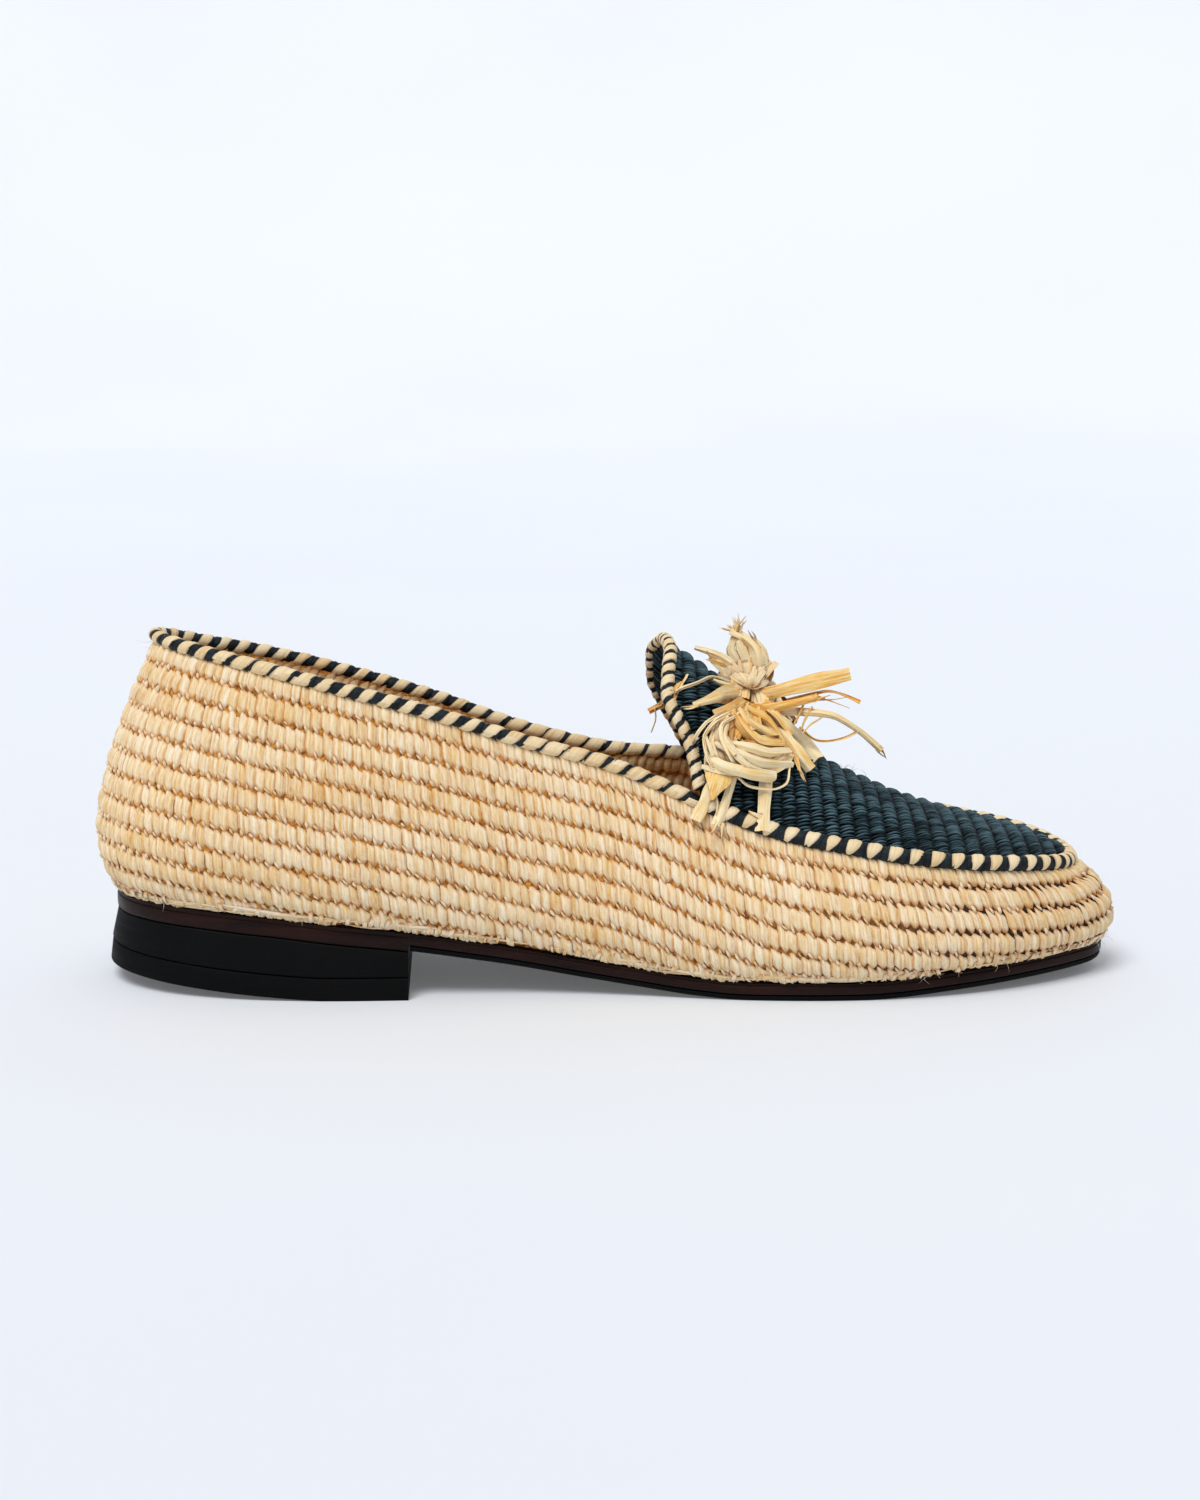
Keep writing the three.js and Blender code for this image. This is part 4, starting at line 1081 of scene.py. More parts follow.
def lifts_height(x, share):
    return mix(tread(x) + TOP_PIECE + CLEARANCE, underside(x) - CLEARANCE, share)


def tread_height(x, share):
    return tread(x) + share * TOP_PIECE


def insole_height(x, share):
    return sole_top(x) + CLEARANCE + share * INSOLE


def sole_piece(name, material, node, slot, profile, height, sharp=50, **stations):
    bundle = Bundle()
    layer(bundle, profile, height, **stations)
    bundle.make(name, material, node, slot, sharp)


def build_sole():
    front = BREAST + SOLE_STEP
    sole_piece("sole_edge", SOLE_EDGE, "midsole", "sole_leather", MIDSOLE_PROFILE, midsole_height,
               steps=200, extra=(BREAST, front))
    sole_piece("outsole_layer", RUBBER, "outsole", "black_rubber", OUTSOLE_PROFILE, outsole_height,
               first=front + CLEARANCE, steps=200)
    sole_piece("heel_block", HEEL_BLACK, "heel_lifts", "black_rubber", LIFTS_PROFILE, lifts_height,
               last=BREAST, steps=120)
    sole_piece("heel_tread", RUBBER, "heel_top_piece", "black_rubber", TREAD_PROFILE, tread_height,
               last=BREAST, steps=120)
    sole_piece("insole_sock", INSOLE_TOP, "insole", "insole_leather", INSOLE_PROFILE, insole_height,
               sharp=60, steps=140)


# Hairs off the wall: count, turns round the shoe, distances below the rim, or above the foot where
# negative, lengths and radius
WALL_HAIRS = (
    (40, (0.0, 1.0), (5.0, 30.0), (0.8, 2.2), 0.05),
    (26, (0.3, 0.52), (-1.5, -0.4), (1.5, 4.5), 0.07),
    (18, (0.0, 1.0), (-1.5, -0.4), (1.0, 3.0), 0.07),
    (12, (-0.03, 0.04), (0.5, 3.0), (1.5, 5.0), 0.05),
)
UPPER_ROWS = 5


def build_wall():
    hairs = [(wall_hairs, *row) for row in WALL_HAIRS]
    for name, material, *makers in (
        ("crochet_upper_rows", RAFFIA, (stitch_rows, 1, 8, 9, range(UPPER_ROWS))),
        ("crochet_lower_rows", RAFFIA, (stitch_rows, 1, 8, 9, range(UPPER_ROWS, ROWS_DOWN))),
        ("crochet_loops", RAFFIA, (loop_tips,), (edge_strands,), (edge_ties,), *hairs),
        ("crochet_inside", RAFFIA, (stitch_rows, -1, 5, 5, range(ROWS_DOWN))),
        # sheet with the painted glow and shade of the crochet's holes
        ("crochet_core", HOLE_GLOW_AND_SHADE, (wall_core,)),
    ):
        build_piece(name, material, "upper_wall", "natural_raffia", *makers)


def build_plug():
    for name, *makers in (
        ("plug_weave", (plug_strands, 1, 6, 6), (plug_core,), (plug_hairs,)),
        ("plug_weave_inside", (plug_strands, -1, 5, 4)),
    ):
        build_piece(name, DARK, "plug_and_tongue", "dark_raffia", *makers)


# Width of a strand round a cord as a share of its pitch, at shares of the cord's length. The pale
# collar goes from the lateral throat corner over the heel back to the medial one.
COLLAR_COVER = (
    (0, 0.06, 0.16, 0.2, 0.3, 0.4, 0.5, 0.58, 0.61, 0.65, 0.68, 0.82, 0.86, 0.9, 0.92, 1),
    (0.85, 0.92, 0.9, 0.62, 0.56, 0.62, 0.54, 0.6, 0.95, 0.95, 0.54, 0.55, 0.88, 0.9, 0.76, 0.8),
)
TONGUE_COVER = ((0, 1), (0.78, 0.78))
FULL_COVER = ((0, 1), (1.1, 1.1))
CORD_END = 0.001


def build_cords():
    collar = rim_cord(1 - THROAT + CORD_END, 1 + THROAT - CORD_END)
    seam = rim_cord(THROAT + CORD_END, 1 - THROAT - CORD_END)
    tongue = tongue_cord()
    for name, node, cord, core, pitch, radius in (
        ("collar_core", "collar_binding", collar, 1.45, 2.4, 1.4),
        ("seam_core", "apron_seam", seam, 1.75, 2.2, 1.7),
        ("tongue_core", "tongue_binding", tongue, 1.4, 2.4, 1.35),
    ):
        build_piece(name, DARK_WRAP, node, "binding_raffia",
                    (cord_core, cord, core), (wraps, cord, pitch, radius, FULL_COVER))
    for name, node, *maker in (
        ("collar_wrap", "collar_binding", wraps, collar, 5.4, 1.62, COLLAR_COVER),
        ("tongue_wrap", "tongue_binding", wraps, tongue, 3.5, 1.5, TONGUE_COVER, -1.0),
        ("seam_stitches", "apron_seam", whip_stitches, seam),
    ):
        build_piece(name, WRAP, node, "binding_raffia", maker)


# Pompom: raffia ribbons round a knot on the crest of the plug. Ribbons are laid out as seen from the
# camera: across and up from the knot, and a lift off the shoe towards the camera, or, past the
# shoe's outline, off its middle plane.
KNOT_FORWARD = 14.1
KNOT_HEIGHT = 5.5
RIBBON = 0.2
RIBBON_SECTION = 7
RIBBON_RINGS = (8, 26)
RINGS_PER_MM = 0.9
KINK = 0.5
BOW = 0.03
FAR_REACH = 14.0
CLUSTER_MIDDLE = np.array([0.0, 4.0, -10.0])
# A point that the ribbons keep clear of: across the shoe and up, in the middle of the foot's room
ROOM_MIDDLE = (4.0, 30.0)
# Furthest that a ribbon looks for the shoe's surface, and the start of a look along the view
SEARCH = 12.0
VIEW_START = 200.0
# Hits of the view past this y are on the far side of the crest, and don't count
CREST_PAST = 6.0


def knot_place():
    crest = plug.points[:, PLUG_COLUMNS // 2]
    x = SECTIONS[THROAT_SECTION][3] * SHOE_LENGTH + KNOT_FORWARD
    front = crest[TONGUE_ROWS:]
    return points_at(x, front[:, 0], front) + UP * KNOT_HEIGHT


class Shoe:
    """The wall and the plug as one surface, to lay ribbons on."""

    def __init__(self):
        points, faces = [], []
        for sheet, rows, columns in ((wall, 6, 8), (plug, 3, 6)):
            grid = sheet.points[::rows, ::columns]
            base = len(points)
            height, width = grid.shape[:2]
            points += [tuple(p) for p in grid.reshape(-1, 3)]
            for i in range(height if sheet.wraps else height - 1):
                k = (i + 1) % height
                for j in range(width - 1):
                    faces.append((base + i * width + j, base + i * width + j + 1, base + k * width + j + 1,
                                  base + k * width + j))
        self.tree = BVHTree.FromPolygons(points, faces)

    def front(self, place, direction):
        """Where a look along the view first meets the shoe, or None."""
        hit = self.tree.ray_cast(Vector(place) - Vector(direction) * VIEW_START, Vector(direction))
        return None if hit[0] is None else np.array(hit[0])

    def clear(self, point, room):
        """The point, moved out where it is nearer to the shoe than the room."""
        near, normal, _, _ = self.tree.find_nearest(Vector(point), SEARCH)
        if near is None:
            return point
        away = Vector(point) - near
        middle = Vector((near.x, *ROOM_MIDDLE))
        out = normal if normal.dot(near - middle) > 0 else -normal
        if away.dot(out) < room:
            return np.array(near + out * room)
        return point


shoe = Shoe()
knot = knot_place()


def view_axes():
    a, e = math.radians(CAMERA_YAW), math.radians(CAMERA_ELEVATION)
    forward = np.array([math.sin(a) * math.cos(e), math.cos(a) * math.cos(e), -math.sin(e)])
    right = np.array([math.cos(a), -math.sin(a), 0.0])
    return right, np.cross(right, forward), forward


def laid(points):
    """Places of points given as (across, up, lift) in the view."""
    right, up, forward = view_axes()
    places = []
    for across, rise, lift in points:
        flat = knot + right * across + up * rise
        hit = shoe.front(flat, forward)
        if hit is None or hit[1] > CREST_PAST:
            hit = flat - forward * (flat[1] / forward[1])
        places.append(hit - forward * lift)
    return np.array(places)


def curve_through(points, count, kink=0.0):
    """Open curve through points, evenly spaced. kink goes from smooth at 0 to straight pieces at 1."""
    points = np.asarray(points, float)
    padded = np.concatenate([[2 * points[0] - points[1]], points, [2 * points[-1] - points[-2]]])
    t = np.linspace(0, 1, 24, endpoint=False)[:, None]
    parts = []
    for a, b, c, d in zip(padded, padded[1:], padded[2:], padded[3:]):
        square, cube = 2 * a - 5 * b + 4 * c - d, 3 * b - a - 3 * c + d
        curve = 0.5 * (2 * b + (c - a) * t + square * t**2 + cube * t**3)
        parts.append(mix(curve, mix(b, c, t), kink))
    dense = np.concatenate(parts + [points[-1:]])
    travelled = path_lengths(dense)
    wanted = np.linspace(0, travelled[-1], count)
    return points_at(wanted, travelled, dense)


def ribbon(bundle, path, widths, tone=0.5, roll=(0.0, 0.0), fold=0.0, room=0.5, depth=1.0, kink=KINK):
    """A flat strip along a path: roll turns it from end to end and fold creases it along its middle."""
    length = np.linalg.norm(path[-1] - path[0]) + 4
    rings = int(np.clip(length * RINGS_PER_MM, *RIBBON_RINGS))
    # a path that keeps clear of the shoe
    path = curve_through(path, rings, kink)
    path = np.array([shoe.clear(p, room) for p in path])
    path[1:-1] = (path[:-2] + 4 * path[1:-1] + path[2:]) / 6
    # the strip's axes, facing the camera and rolled from end to end
    share = np.linspace(0, 1, rings)
    along = unit(np.gradient(path, axis=0))
    normal = np.broadcast_to(-view_axes()[2], along.shape)
    normal = unit(normal - along * np.sum(normal * along, axis=-1, keepdims=True) + 1e-6)
    side = np.cross(along, normal)
    turn = np.radians(mix(roll[0], roll[1], share))[:, None]
    side, normal = (
        side * np.cos(turn) + normal * np.sin(turn),
        normal * np.cos(turn) - side * np.sin(turn),
    )
    # its width, and its height across: bow, fold, creases and a wave
    x = np.linspace(-1, 1, RIBBON_SECTION)
    width = np.interp(share, np.linspace(0, 1, len(widths)), widths)[:, None]
    width = width * (1 + 0.1 * np.sin(share[:, None] * rng.uniform(5, 14) + rng.uniform(0, 6)))
    curve = BOW * width * (0.5 - x**2) + fold * width * (0.5 - np.abs(x))
    creases = rng.normal(0, 0.09, (1, RIBBON_SECTION)) + rng.normal(0, 0.03, (rings, RIBBON_SECTION))
    wave = 0.12 * np.sin(share[:, None] * rng.uniform(4, 11) + x * rng.uniform(-2, 2) + rng.uniform(0, 6))
    height = curve + creases + wave * np.minimum(width / 3, 1)
    middle = path[:, None] + side[:, None] * (x * width / 2)[..., None] + normal[:, None] * height[..., None]
    # two faces that come together at the edges
    thick = normal[:, None] * (RIBBON / 2 * (1 - 0.6 * np.abs(x) ** 3))[None, :, None]
    section = np.concatenate([middle + thick, (middle - thick)[:, ::-1]], axis=1)
    across = np.concatenate([x, x[::-1]])[None, :] * width / 2
    place = np.stack(np.broadcast_arrays(across, (share * length)[:, None]), axis=-1) + rng.uniform(0, 90)
    bundle.add(section[None], tone, depth, place[None], closed=True)
    return path, side, width


def frayed(bundle, path, side, width, tone, count, reach=(1.0, 3.5), spread=0.35):
    """Split fibres past the end of a ribbon."""
    end, ahead = path[-1], unit(path[-1] - path[-2])
    for _ in range(count):
        offset = rng.uniform(-0.5, 0.5) * width[-1, 0]
        start = end - ahead * 1.2 + side[-1] * offset
        push = ahead + side[-1] * rng.normal(0, spread) + rng.normal(0, 0.12, 3)
        tip = start + unit(push) * (1.2 + rng.uniform(*reach))
        bend = (start + tip) / 2 + rng.normal(0, 0.25, 3)
        ribbon(bundle, [start, bend, tip], (rng.uniform(0.4, 0.9), 0.5, 0.12), tone, room=0.3)


# Ribbons read off the photo: points, widths, tone and, where they aren't 0, the roll at both ends,
# the fold and the number of frayed fibres
RIBBONS = (
    # broad strips to the toe
    (((-1.2, -4.0, 7), (7.3, -2.1, 9), (17.6, 0.5, 9), (25.0, 2.1, 8)),
     (3.0, 3.8, 4.0, 3.6), 0.32, (-8, 6), 0.03),
    (((-1.9, -6.2, 8), (3.0, -7.0, 10), (9.9, -5.6, 10), (16.7, -3.8, 9)),
     (2.0, 2.6, 2.4, 1.9), 0.05, (0, -12), 0.2, 5),
    (((9.0, -4.6, 8), (19.0, -2.2, 8), (23.5, -3.1, 7), (27.8, -5.0, 7)),
     (0.9, 0.9, 0.8, 1.3), 0.1, (0, 30), 0.2),
    (((14.0, -3.4, 8), (19.5, -4.6, 8), (25.0, -6.6, 7)), (0.5, 0.35, 0.15), 0.2),
    (((16.0, -4.6, 8), (21.0, -4.4, 8), (24.4, -3.8, 7)), (0.4, 0.3, 0.12), 0.2),
    # long loop to the toe
    (((3.0, -8.5, 7), (8.2, -7.4, 8), (16.3, -7.8, 9), (21.4, -8.7, 9), (27.8, -12.6, 8), (33.4, -17.4, 7)),
     (2.6, 2.4, 1.8, 1.6, 1.7, 2.1), 0.75, (10, -25), 0.15, 3),
    (((27.8, -12.2, 8), (24.0, -14.2, 8), (19.3, -15.1, 8), (15.9, -14.6, 8), (12.2, -11.5, 8)),
     (0.7, 0.75, 0.7, 0.8), 0.3, (0, 60)),
    (((15.4, -6.2, 9), (13.5, -9.5, 9), (12.6, -12.2, 9)), (0.6, 0.7, 0.5), 0.25, (0, 30)),
    (((13.2, -5.4, 9), (12.2, -8.0, 9), (10.8, -10.6, 9)), (0.6, 0.6, 0.5), 0.2, (0, 30)),
    (((17.8, -9.0, 9), (15.0, -10.8, 9), (13.0, -13.0, 9)), (0.5, 0.5, 0.5), 0.25, (0, 30)),
    # tuft above the knot
    (((-0.8, 0.3, 2), (-2.9, 5.0, 3), (-5.3, 8.0, 3), (-4.9, 10.5, 3), (-3.2, 14.4, 3)),
     (3.2, 3.0, 2.4, 2.2, 2.2), 0.85, (0, 30), 0.2, 3),
    (((-0.4, 0.7, 3), (-0.8, 5.4, 4), (-2.1, 8.8, 4), (-3.6, 12.6, 3)),
     (3.4, 3.8, 3.2, 1.6), 0.9, (0, -15), 0.3, 2),
    (((0.5, 0.7, 4), (1.4, 5.0, 5), (0.6, 8.8, 5), (-2.5, 11.6, 4)),
     (3.2, 3.6, 3.0, 1.4), 0.75, (0, 20), 0.3),
    (((1.3, 0.3, 3), (3.2, 3.4, 4), (2.8, 6.9, 4), (0.9, 9.6, 3)), (2.8, 3.2, 2.4, 1.2), 0.95, (0, -25), 0.3),
    (((-1.0, 0.0, 2), (-2.6, 7.0, 3), (-4.0, 11.6, 3), (-4.3, 14.4, 3)),
     (3.4, 2.6, 1.8, 1.9), 0.7, (0, 40), 0.25, 5),
    (((1.0, 0.0, 3), (1.2, 6.0, 4), (-0.8, 11.0, 4), (-5.4, 13.4, 3)),
     (3.4, 2.8, 2.2, 2.2), 0.85, (0, -30), 0.2, 4),
    (((-2.6, 0.5, 2), (-5.4, 5.2, 2), (-6.4, 9.0, 2), (-4.4, 10.6, 2)),
     (2.4, 1.4, 0.8, 0.6), 0.6, (0, 50), 0.2, 2),
    (((2.6, 0.2, 2), (3.6, 4.8, 2), (2.8, 8.6, 2), (0.4, 11.4, 2)),
     (3.0, 2.6, 2.0, 1.0), 0.9, (0, 20), 0.25, 2),
    (((2.0, 6.9, 3), (4.4, 5.6, 3), (5.6, 4.4, 3), (5.4, 1.6, 3), (4.2, -1.0, 3)),
     (0.5, 0.45, 0.45, 0.6), 0.6, (0, 60)),
    # strips back over the tongue
    (((-1.5, 2.2, 3), (-7.4, 6.4, 3), (-11.5, 8.0, 3), (-14.6, 8.9, 3)),
     (2.6, 2.4, 2.0, 1.2), 0.95, (0, 20), 0.2),
    (((-2.4, 0.8, 3), (-6.4, 4.6, 3), (-10.6, 6.0, 3)), (2.6, 2.4, 1.6), 0.3, (0, 10), 0.2, 2),
    (((-2.6, 0.0, 3), (-6.8, 2.6, 3), (-10.8, 6.4, 3)), (2.4, 2.0, 1.2), 0.7, (0, 0), 0.2),
    (((-4.5, -0.4, 5), (-8.6, 0.9, 6), (-10.8, 1.3, 6), (-14.5, -0.5, 6), (-19.2, -2.1, 5), (-21.6, -5.6, 4)),
     (0.9, 1.0, 0.9, 0.8, 0.7), 0.85, (0, 40)),
    (((-20.5, -4.9, 0.5), (-24.0, -6.2, -2), (-26.2, -7.4, -2)), (1.5, 1.6, 1.7), 0.15, (0, 0), 0.1),
    (((-24.6, -6.6, -2), (-24.4, -9.4, -2), (-25.6, -12.8, -2)), (0.5, 0.4, 0.3), 0.7),
    # wide pointed piece beside the knot
    (((-3.2, -2.6, 8), (-8.6, -3.6, 8), (-12.4, -5.0, 7), (-15.4, -6.0, 6)),
     (5.6, 4.9, 3.4, 1.4), 0.62, (0, 12), 0.12, 2),
    (((-2.6, -1.4, 6), (-7.2, -0.6, 6), (-10.0, 0.6, 5)), (2.4, 1.6, 0.8), 0.8, (0, 0), 0.2),
    # wide strips down to the toe side
    (((3.6, -7.2, 9), (9.0, -11.6, 10), (13.4, -15.6, 8), (17.2, -19.6, 5)),
     (2.6, 3.8, 4.2, 4.0), 0.9, (0, 14), 0.18),
    (((6.0, -10.2, 9), (9.4, -15.4, 9), (12.0, -19.0, 7), (14.6, -22.3, 4)),
     (2.2, 2.8, 3.2, 3.2), 0.55, (0, -16), 0.25),
    (((9.5, -16.5, 6), (11.0, -20.0, 5), (11.6, -22.4, 4)), (1.6, 1.2, 0.8), 0.3, (0, 0), 0.1, 3),
    # strips that hang over the seam
    (((2.8, -19.5, 6), (2.9, -24.0, 4.5), (2.3, -31.0, 2.6), (1.8, -37.6, 2.4)),
     (3.0, 3.1, 3.3, 3.9), 0.85, (0, -8), 0.25),
    (((1.6, -34.2, 2.6), (0.0, -33.4, 2.6), (-1.6, -32.6, 2.4)), (1.1, 0.8, 0.4), 0.85),
    (((-5.2, -22.5, 5), (-6.3, -27.0, 3.5), (-7.8, -31.6, 2.6), (-9.6, -36.2, 2.4)),
     (2.2, 2.3, 2.4, 2.8), 0.9, (0, 10), 0.25, 3),
    (((-10.6, -25.0, 4), (-12.0, -28.6, 3), (-13.4, -31.8, 2.4), (-15.0, -34.9, 2.2)),
     (2.6, 2.9, 3.0, 3.1), 0.7, (0, -6), 0.1),
    (((-9.8, -28.6, 4), (-9.4, -31.0, 3), (-9.8, -33.6, 2.6)), (0.5, 0.5, 0.4), 0.9),
    # crumpled warm pieces in the heart of the cluster
    (((-5.5, -7.4, 9), (-2.9, -11.7, 10), (1.3, -15.6, 10), (7.7, -16.0, 9)),
     (2.0, 3.4, 3.8, 2.2), 0.3, (20, -30), 0.5),
    (((-2.1, -6.6, 9), (3.9, -10.4, 11), (7.3, -15.1, 10)), (2.0, 3.2, 2.0), 0.2, (-20, 30), 0.5),
    (((-3.6, -6.8, 10), (-1.4, -10.2, 12), (3.6, -13.2, 12), (6.8, -13.4, 10)),
     (1.6, 2.6, 2.8, 1.4), 0.45, (30, -20), 0.6),
    (((1.0, -5.6, 8), (5.6, -8.4, 11), (9.6, -13.6, 10)), (1.4, 2.4, 1.6), 0.35, (0, -40), 0.5),
    (((-1.4, -5.6, 9), (-2.2, -8.8, 11), (-0.6, -12.4, 11)), (1.6, 2.6, 1.6), 0.5, (20, -20), 0.6),
    # pale strands across the bottom of the cluster
    (((-6.4, -15.6, 10), (-1.2, -16.8, 12), (3.9, -18.1, 11), (9.4, -17.7, 8)),
     (1.6, 2.8, 2.8, 1.6), 0.85, (10, -20), 0.4),
    (((-10.2, -15.6, 8), (-4.7, -17.9, 11), (1.3, -20.2, 10), (9.9, -20.7, 7)),
     (1.6, 2.4, 3.2, 1.8), 0.95, (0, 25), 0.4),
    (((-12.4, -18.6, 6), (-8.1, -21.4, 9), (-1.2, -23.2, 9), (5.2, -24.3, 6)),
     (2.2, 3.0, 3.6, 3.0), 0.8, (0, -15), 0.3),
    (((-8.8, -11.6, 10), (-6.2, -16.6, 11), (-1.8, -21.0, 10), (3.6, -22.8, 7)),
     (1.6, 2.0, 2.2, 1.2), 1.0, (10, 30), 0.4),
    (((-6.8, -9.0, 9), (-7.8, -14.0, 11), (-5.0, -18.4, 11)), (1.6, 1.8, 1.4), 0.75, (0, 30), 0.5),
    # folded corner at the lower back
    (((-8.4, -21.2, 5.5), (-9.4, -25.0, 6.2), (-10.8, -29.8, 4.6)), (8.8, 5.6, 0.7), 0.3, (0, 0), 0.05),
    (((-13.4, -21.4, 5.4), (-8.6, -22.6, 7.2), (-3.4, -23.2, 6.8)), (1.2, 1.6, 1.2), 0.95, (0, 30), 0.2),
    # thin loop under the cluster
    (((-4.7, -23.6, 5), (-1.6, -26.4, 5), (4.7, -27.2, 5), (8.2, -25.6, 5), (8.9, -21.6, 6)),
     (0.8, 0.7, 0.65, 0.6, 0.6), 0.9, (0, 60), 0.1),
    # outer strands of the cluster
    (((-5.0, -7.2, 8), (-11.6, -9.6, 8), (-15.2, -14.4, 7), (-15.6, -18.6, 6), (-11.8, -23.4, 5)),
     (1.0, 0.9, 0.7, 0.6, 0.6), 0.9, (0, 60)),
    (((-4.6, -7.6, 9), (-9.8, -10.2, 9), (-12.8, -13.8, 8), (-12.2, -18.4, 8), (-10.0, -23.0, 6)),
     (1.6, 1.6, 1.2, 1.0, 1.0), 0.85, (10, 40), 0.1),
    (((-3.4, -8.0, 10), (-8.4, -10.8, 11), (-8.6, -14.4, 11), (-6.4, -19.0, 10), (-3.8, -22.8, 7)),
     (1.4, 1.1, 1.0, 1.0, 1.2), 0.95, (0, 40)),
    (((-12.6, -13.4, 8), (-11.0, -17.6, 8), (-9.8, -23.0, 6)), (0.8, 1.1, 1.4), 0.9, (0, 10), 0.2),
)


def arcs(bundle, count, centre, radii, angles, lifts, widths, tones, spread=0.8):
    """Nested curved ribbons: a cluster as seen, the outer arcs lower than the inner ones."""
    for k in range(count):
        share = (k + 0.5) / count
        scale = mix(0.28, 1.0, share) * rng.uniform(0.94, 1.06)
        low, high = angles
        start, end = low + rng.uniform(-20, 25), high + rng.uniform(-25, 20)
        lift = mix(lifts[0], lifts[1], share) + rng.normal(0, 0.5)
        points = []
        for angle in np.linspace(start, end, 6):
            a = math.radians(angle)
            points.append((centre[0] + scale * radii[0] * math.cos(a) + rng.normal(0, spread * 0.4),
                           centre[1] + scale * radii[1] * math.sin(a) + rng.normal(0, spread * 0.4),
                           lift + rng.normal(0, 0.35)))
        points[0] = (points[0][0], points[0][1], points[0][2] - 2.5)
        points[-1] = (points[-1][0], points[-1][1], points[-1][2] - 2.5)
        wide = rng.uniform(*widths)
        # painted shade on the inner arcs: tone and painted light rise towards the outer ones
        tone = mix(*tones, share) + rng.normal(0, 0.12)
        roll = (rng.uniform(-35, 15), rng.uniform(-35, 25))
        ribbon(bundle, laid(points), (wide * 0.7, wide, wide * 0.9, wide * 0.6), tone, roll,
               fold=rng.uniform(0, 0.25), depth=mix(0.55, 1.0, share))


def pleats(bundle, count, start, angles, reach, lifts, widths, tones, kink=0.1):
    """Ribbons that fan out from the knot and curl under at their ends."""
    for k in range(count):
        a = math.radians(mix(*angles, (k + 0.5) / count) + rng.uniform(-7, 7))
        long = rng.uniform(*reach)
        points = [(start[0], start[1], lifts[0])]
        for share, sag in ((0.35, 1.4), (0.75, 1.2), (1.0, 0.0)):
            points.append((start[0] + long * share * math.cos(a), start[1] + long * share * math.sin(a),
                           mix(*lifts, share) + sag + rng.normal(0, 0.4)))
        wide = rng.uniform(*widths)
        tone, roll = rng.uniform(*tones), (rng.uniform(-20, 20), rng.uniform(-40, 40))
        # a little painted shade, drawn at random for each pleat
        ribbon(bundle, laid(points), (wide * 0.5, wide, wide, wide * 0.7), tone, roll,
               fold=rng.uniform(0, 0.3), depth=rng.uniform(0.75, 1.0), kink=kink)


def crest_ribbons(bundle, count=16):
    """Ribbons that cross the crest and join the near cluster with the far one."""
    for _ in range(count):
        ahead, turn = rng.uniform(-3.5, 6.5), rng.uniform(-2.5, 2.5)
        half = rng.uniform(7.0, 10.0)
        share = np.linspace(-1, 1, 7)
        along = ahead + turn * share + rng.normal(0, 0.35, 7)
        rise = rng.uniform(0.6, 2.2) - 0.5 * along - 4.5 * share**2
        path = knot + np.stack([along, half * share, rise], axis=-1)
        wide = rng.uniform(2.0, 3.2)
        ribbon(bundle, path, (wide * 0.6, wide, wide, wide * 0.6), rng.uniform(0.3, 0.95),
               (rng.uniform(-25, 25), rng.uniform(-25, 25)), fold=rng.uniform(0.05, 0.3))


def paint_occlusion_shade(bundle, directions=9, reach=2.4, start=0.16):
    """Painted shade: lower the painted light of each point by how much of its outlook other ribbons close
    off.
    """
    points = np.concatenate(bundle.points)
    tree = BVHTree.FromPolygons([tuple(p) for p in points], np.concatenate(bundle.faces).tolist())
    away = unit(points - (knot + CLUSTER_MIDDLE))
    spread = unit(rng.normal(0, 1, (directions, 3)))
    closed = np.zeros(len(points))
    for i, (point, out) in enumerate(zip(points, away)):
        for direction in unit(out * 1.1 + spread):
            if tree.ray_cast(Vector(point + direction * start), Vector(direction), reach)[0] is not None:
                closed[i] += 1 / directions
    bundle.depths = [np.concatenate(bundle.depths) * (1 - smooth(0.3, 0.95, closed))]


def seen_ribbon(bundle, points, widths, tone, roll=(0, 0), fold=0.0, frays=0):
    """One of the ribbons read off the photo, with the split fibres at its end."""
    path, side, width = ribbon(bundle, laid(points), widths, tone, roll, fold=fold)
    if frays:
        frayed(bundle, path, side, width, tone, frays)


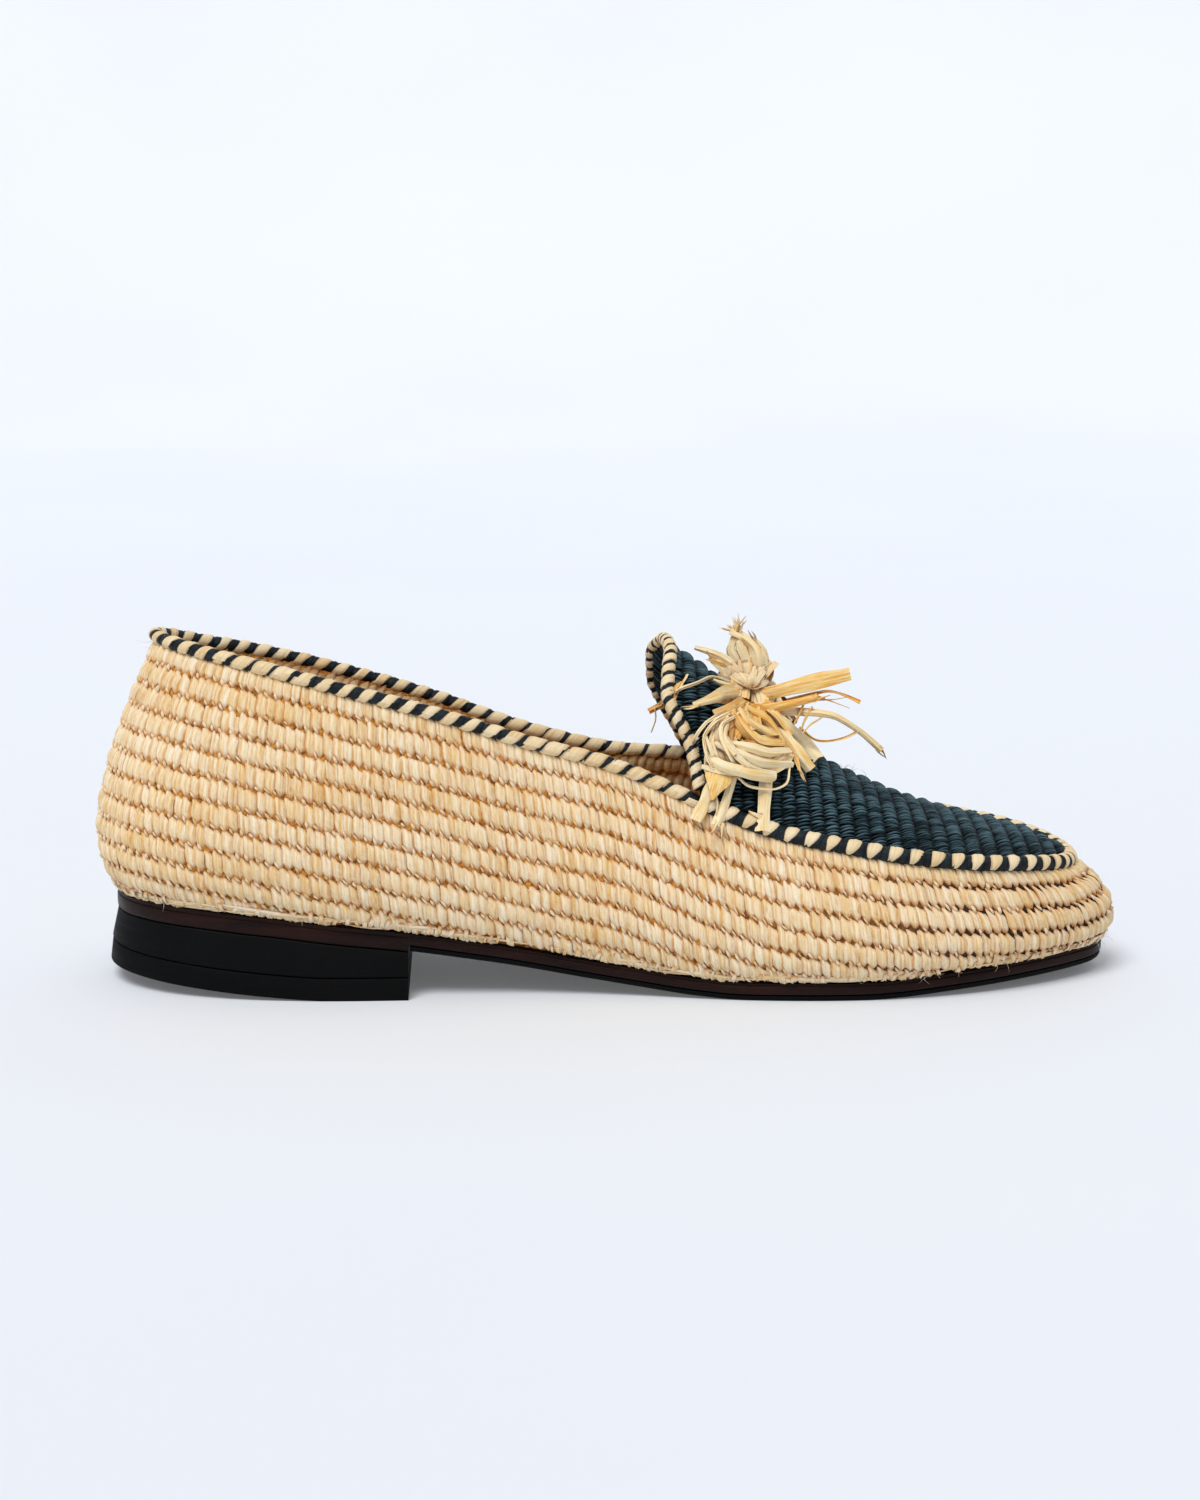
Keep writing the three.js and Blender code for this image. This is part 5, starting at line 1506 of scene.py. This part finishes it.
def build_pompom():
    bundle = Bundle()
    # heart of the cluster, dark and warm with painted shade between the outer ribbons
    arcs(bundle, 14, (0.6, -13.0), (8.5, 8.0), (60, 330), (6.5, 3.5), (2.6, 4.0), (0.0, 0.15))
    pleats(bundle, 14, (-0.4, -4.6), (190, 350), (7, 12), (6, 7), (2.4, 3.8), (0.0, 0.4))
    arcs(bundle, 6, (1.2, -13.6), (10.5, 10.2), (175, 350), (9.0, 6.0), (2.2, 3.4), (0.15, 0.8))
    arcs(bundle, 4, (-3.0, -14.5), (9.0, 9.5), (120, 265), (9.0, 6.5), (1.4, 2.2), (0.4, 0.95))
    # knot and the fan of pale pleats over it
    pleats(bundle, 15, (0.0, -0.6), (20, 165), (5, 9), (4, 2), (2.4, 3.6), (0.7, 1.0))
    pleats(bundle, 14, (-0.4, -1.4), (22, 158), (3.8, 6.4), (6, 4.5), (1.3, 2.2), (0.85, 1.0), 0.0)
    for row in RIBBONS:
        seen_ribbon(bundle, *row)
    far = Bundle()
    pleats(far, 16, (0.0, -2.0), (205, 335), (8, 17), (4, 5), (2.0, 3.4), (0.1, 0.8))
    arcs(far, 6, (0.0, -13.0), (9.0, 8.5), (165, 360), (7.0, 5.0), (2.2, 3.6), (0.0, 0.4))
    for points, *looks in RIBBONS:
        if max(abs(point[0]) for point in points) > FAR_REACH or points[-1][1] > 0:
            continue
        turned = [(-across * rng.uniform(0.8, 1.0), rise + 1.0, lift) for across, rise, lift in points]
        seen_ribbon(far, turned, *looks)
    # the far side is the near one turned over, with ribbons of its own
    for part in far.points:
        part[:, 1] = 2 * knot[1] - part[:, 1]
    far.faces = [faces[:, ::-1] for faces in far.faces]
    crest_ribbons(far)
    paint_occlusion_shade(bundle)
    paint_occlusion_shade(far)
    for name, half in (("pompom_ribbons", bundle), ("pompom_far_ribbons", far)):
        half.make(name, POMPOM, "pompom", "pompom_raffia", sharp=50)


def build_camera():
    right, up, forward = view_axes()
    focal = CAMERA_LENS / SENSOR * max(PHOTO_SIZE)
    across = (CAMERA_AIM_PX[0] - PHOTO_SIZE[0] / 2) / focal
    down = (CAMERA_AIM_PX[1] - PHOTO_SIZE[1] / 2) / focal
    ray = forward + right * across - up * down
    place = np.array(CAMERA_AIM) - ray * CAMERA_DISTANCE
    data = bpy.data.cameras.new("camera")
    data.lens = CAMERA_LENS
    data.sensor_width = SENSOR
    camera = into_scene(bpy.data.objects.new("camera", data))
    axes = Matrix([right, up, -forward]).transposed().to_4x4()
    camera.matrix_world = Matrix.Translation(Vector(to_frame(place))) @ axes
    bpy.context.scene.camera = camera


# Paper floor that curves up into a backdrop, in metres: how far it reaches, where it turns, the
# radius of the turn and the top of the backdrop
FLOOR_REACH = 90.0
FLOOR_TURN = 1.2
TURN_RADIUS = 1.0
TURN_STEPS = 16
BACKDROP_TOP = 3.0
PAPER_GLOW = 0.1
# Light: the sky's colour and strength, and one wide sun as seen from the shoe
SKY = (1.0, 0.985, 0.96, 1.0)
SKY_STRENGTH = 0.44
KEY_PLACE = (-0.4, -0.8, 1.45)
KEY_WIDTH = 32
KEY_STRENGTH = 2.05
KEY_COLOUR = (1.0, 0.99, 0.97)


def build_light():
    world = bpy.data.worlds.new("world")
    world.use_nodes = True
    background = world.node_tree.nodes["Background"]
    background.inputs["Color"].default_value = SKY
    background.inputs["Strength"].default_value = SKY_STRENGTH
    bpy.context.scene.world = world
    bpy.context.scene.view_settings.view_transform = "Standard"
    data = bpy.data.lights.new("key", "SUN")
    data.angle = math.radians(KEY_WIDTH)
    data.energy = KEY_STRENGTH
    data.color = KEY_COLOUR
    lamp = into_scene(bpy.data.objects.new("key", data))
    lamp.location = KEY_PLACE
    lamp.rotation_euler = (-Vector(KEY_PLACE)).to_track_quat("-Z", "Y").to_euler()


def paper_material():
    m = Nodes("floor_paper")
    grain = m.noise(m.new("ShaderNodeTexCoord").outputs["Object"], 3.0, 2.0)
    paper = m.ramp(grain, ((0.3, srgb(216, 221, 232)), (0.7, srgb(219, 225, 233))))
    return m.finish(paper, 0.9, None, Emission_Strength=PAPER_GLOW)


def build_floor():
    profile = [(-FLOOR_REACH, 0.0), (FLOOR_TURN, 0.0)]
    for i in range(1, TURN_STEPS + 1):
        angle = i / TURN_STEPS * math.pi / 2
        profile.append((FLOOR_TURN + TURN_RADIUS * math.sin(angle), TURN_RADIUS * (1 - math.cos(angle))))
    profile.append((FLOOR_TURN + TURN_RADIUS, BACKDROP_TOP))
    points = [(x, y, z) for y, z in profile for x in (-FLOOR_REACH, FLOOR_REACH)]
    faces = [(2 * i, 2 * i + 1, 2 * i + 3, 2 * i + 2) for i in range(len(profile) - 1)]
    mesh = bpy.data.meshes.new("floor")
    mesh.from_pydata(points, [], faces)
    mesh.shade_smooth()
    mesh.materials.append(paper_material())
    floor = into_scene(bpy.data.objects.new("floor", mesh))


build_camera()
build_light()
build_floor()
build_sole()
build_wall()
build_plug()
build_cords()
build_pompom()
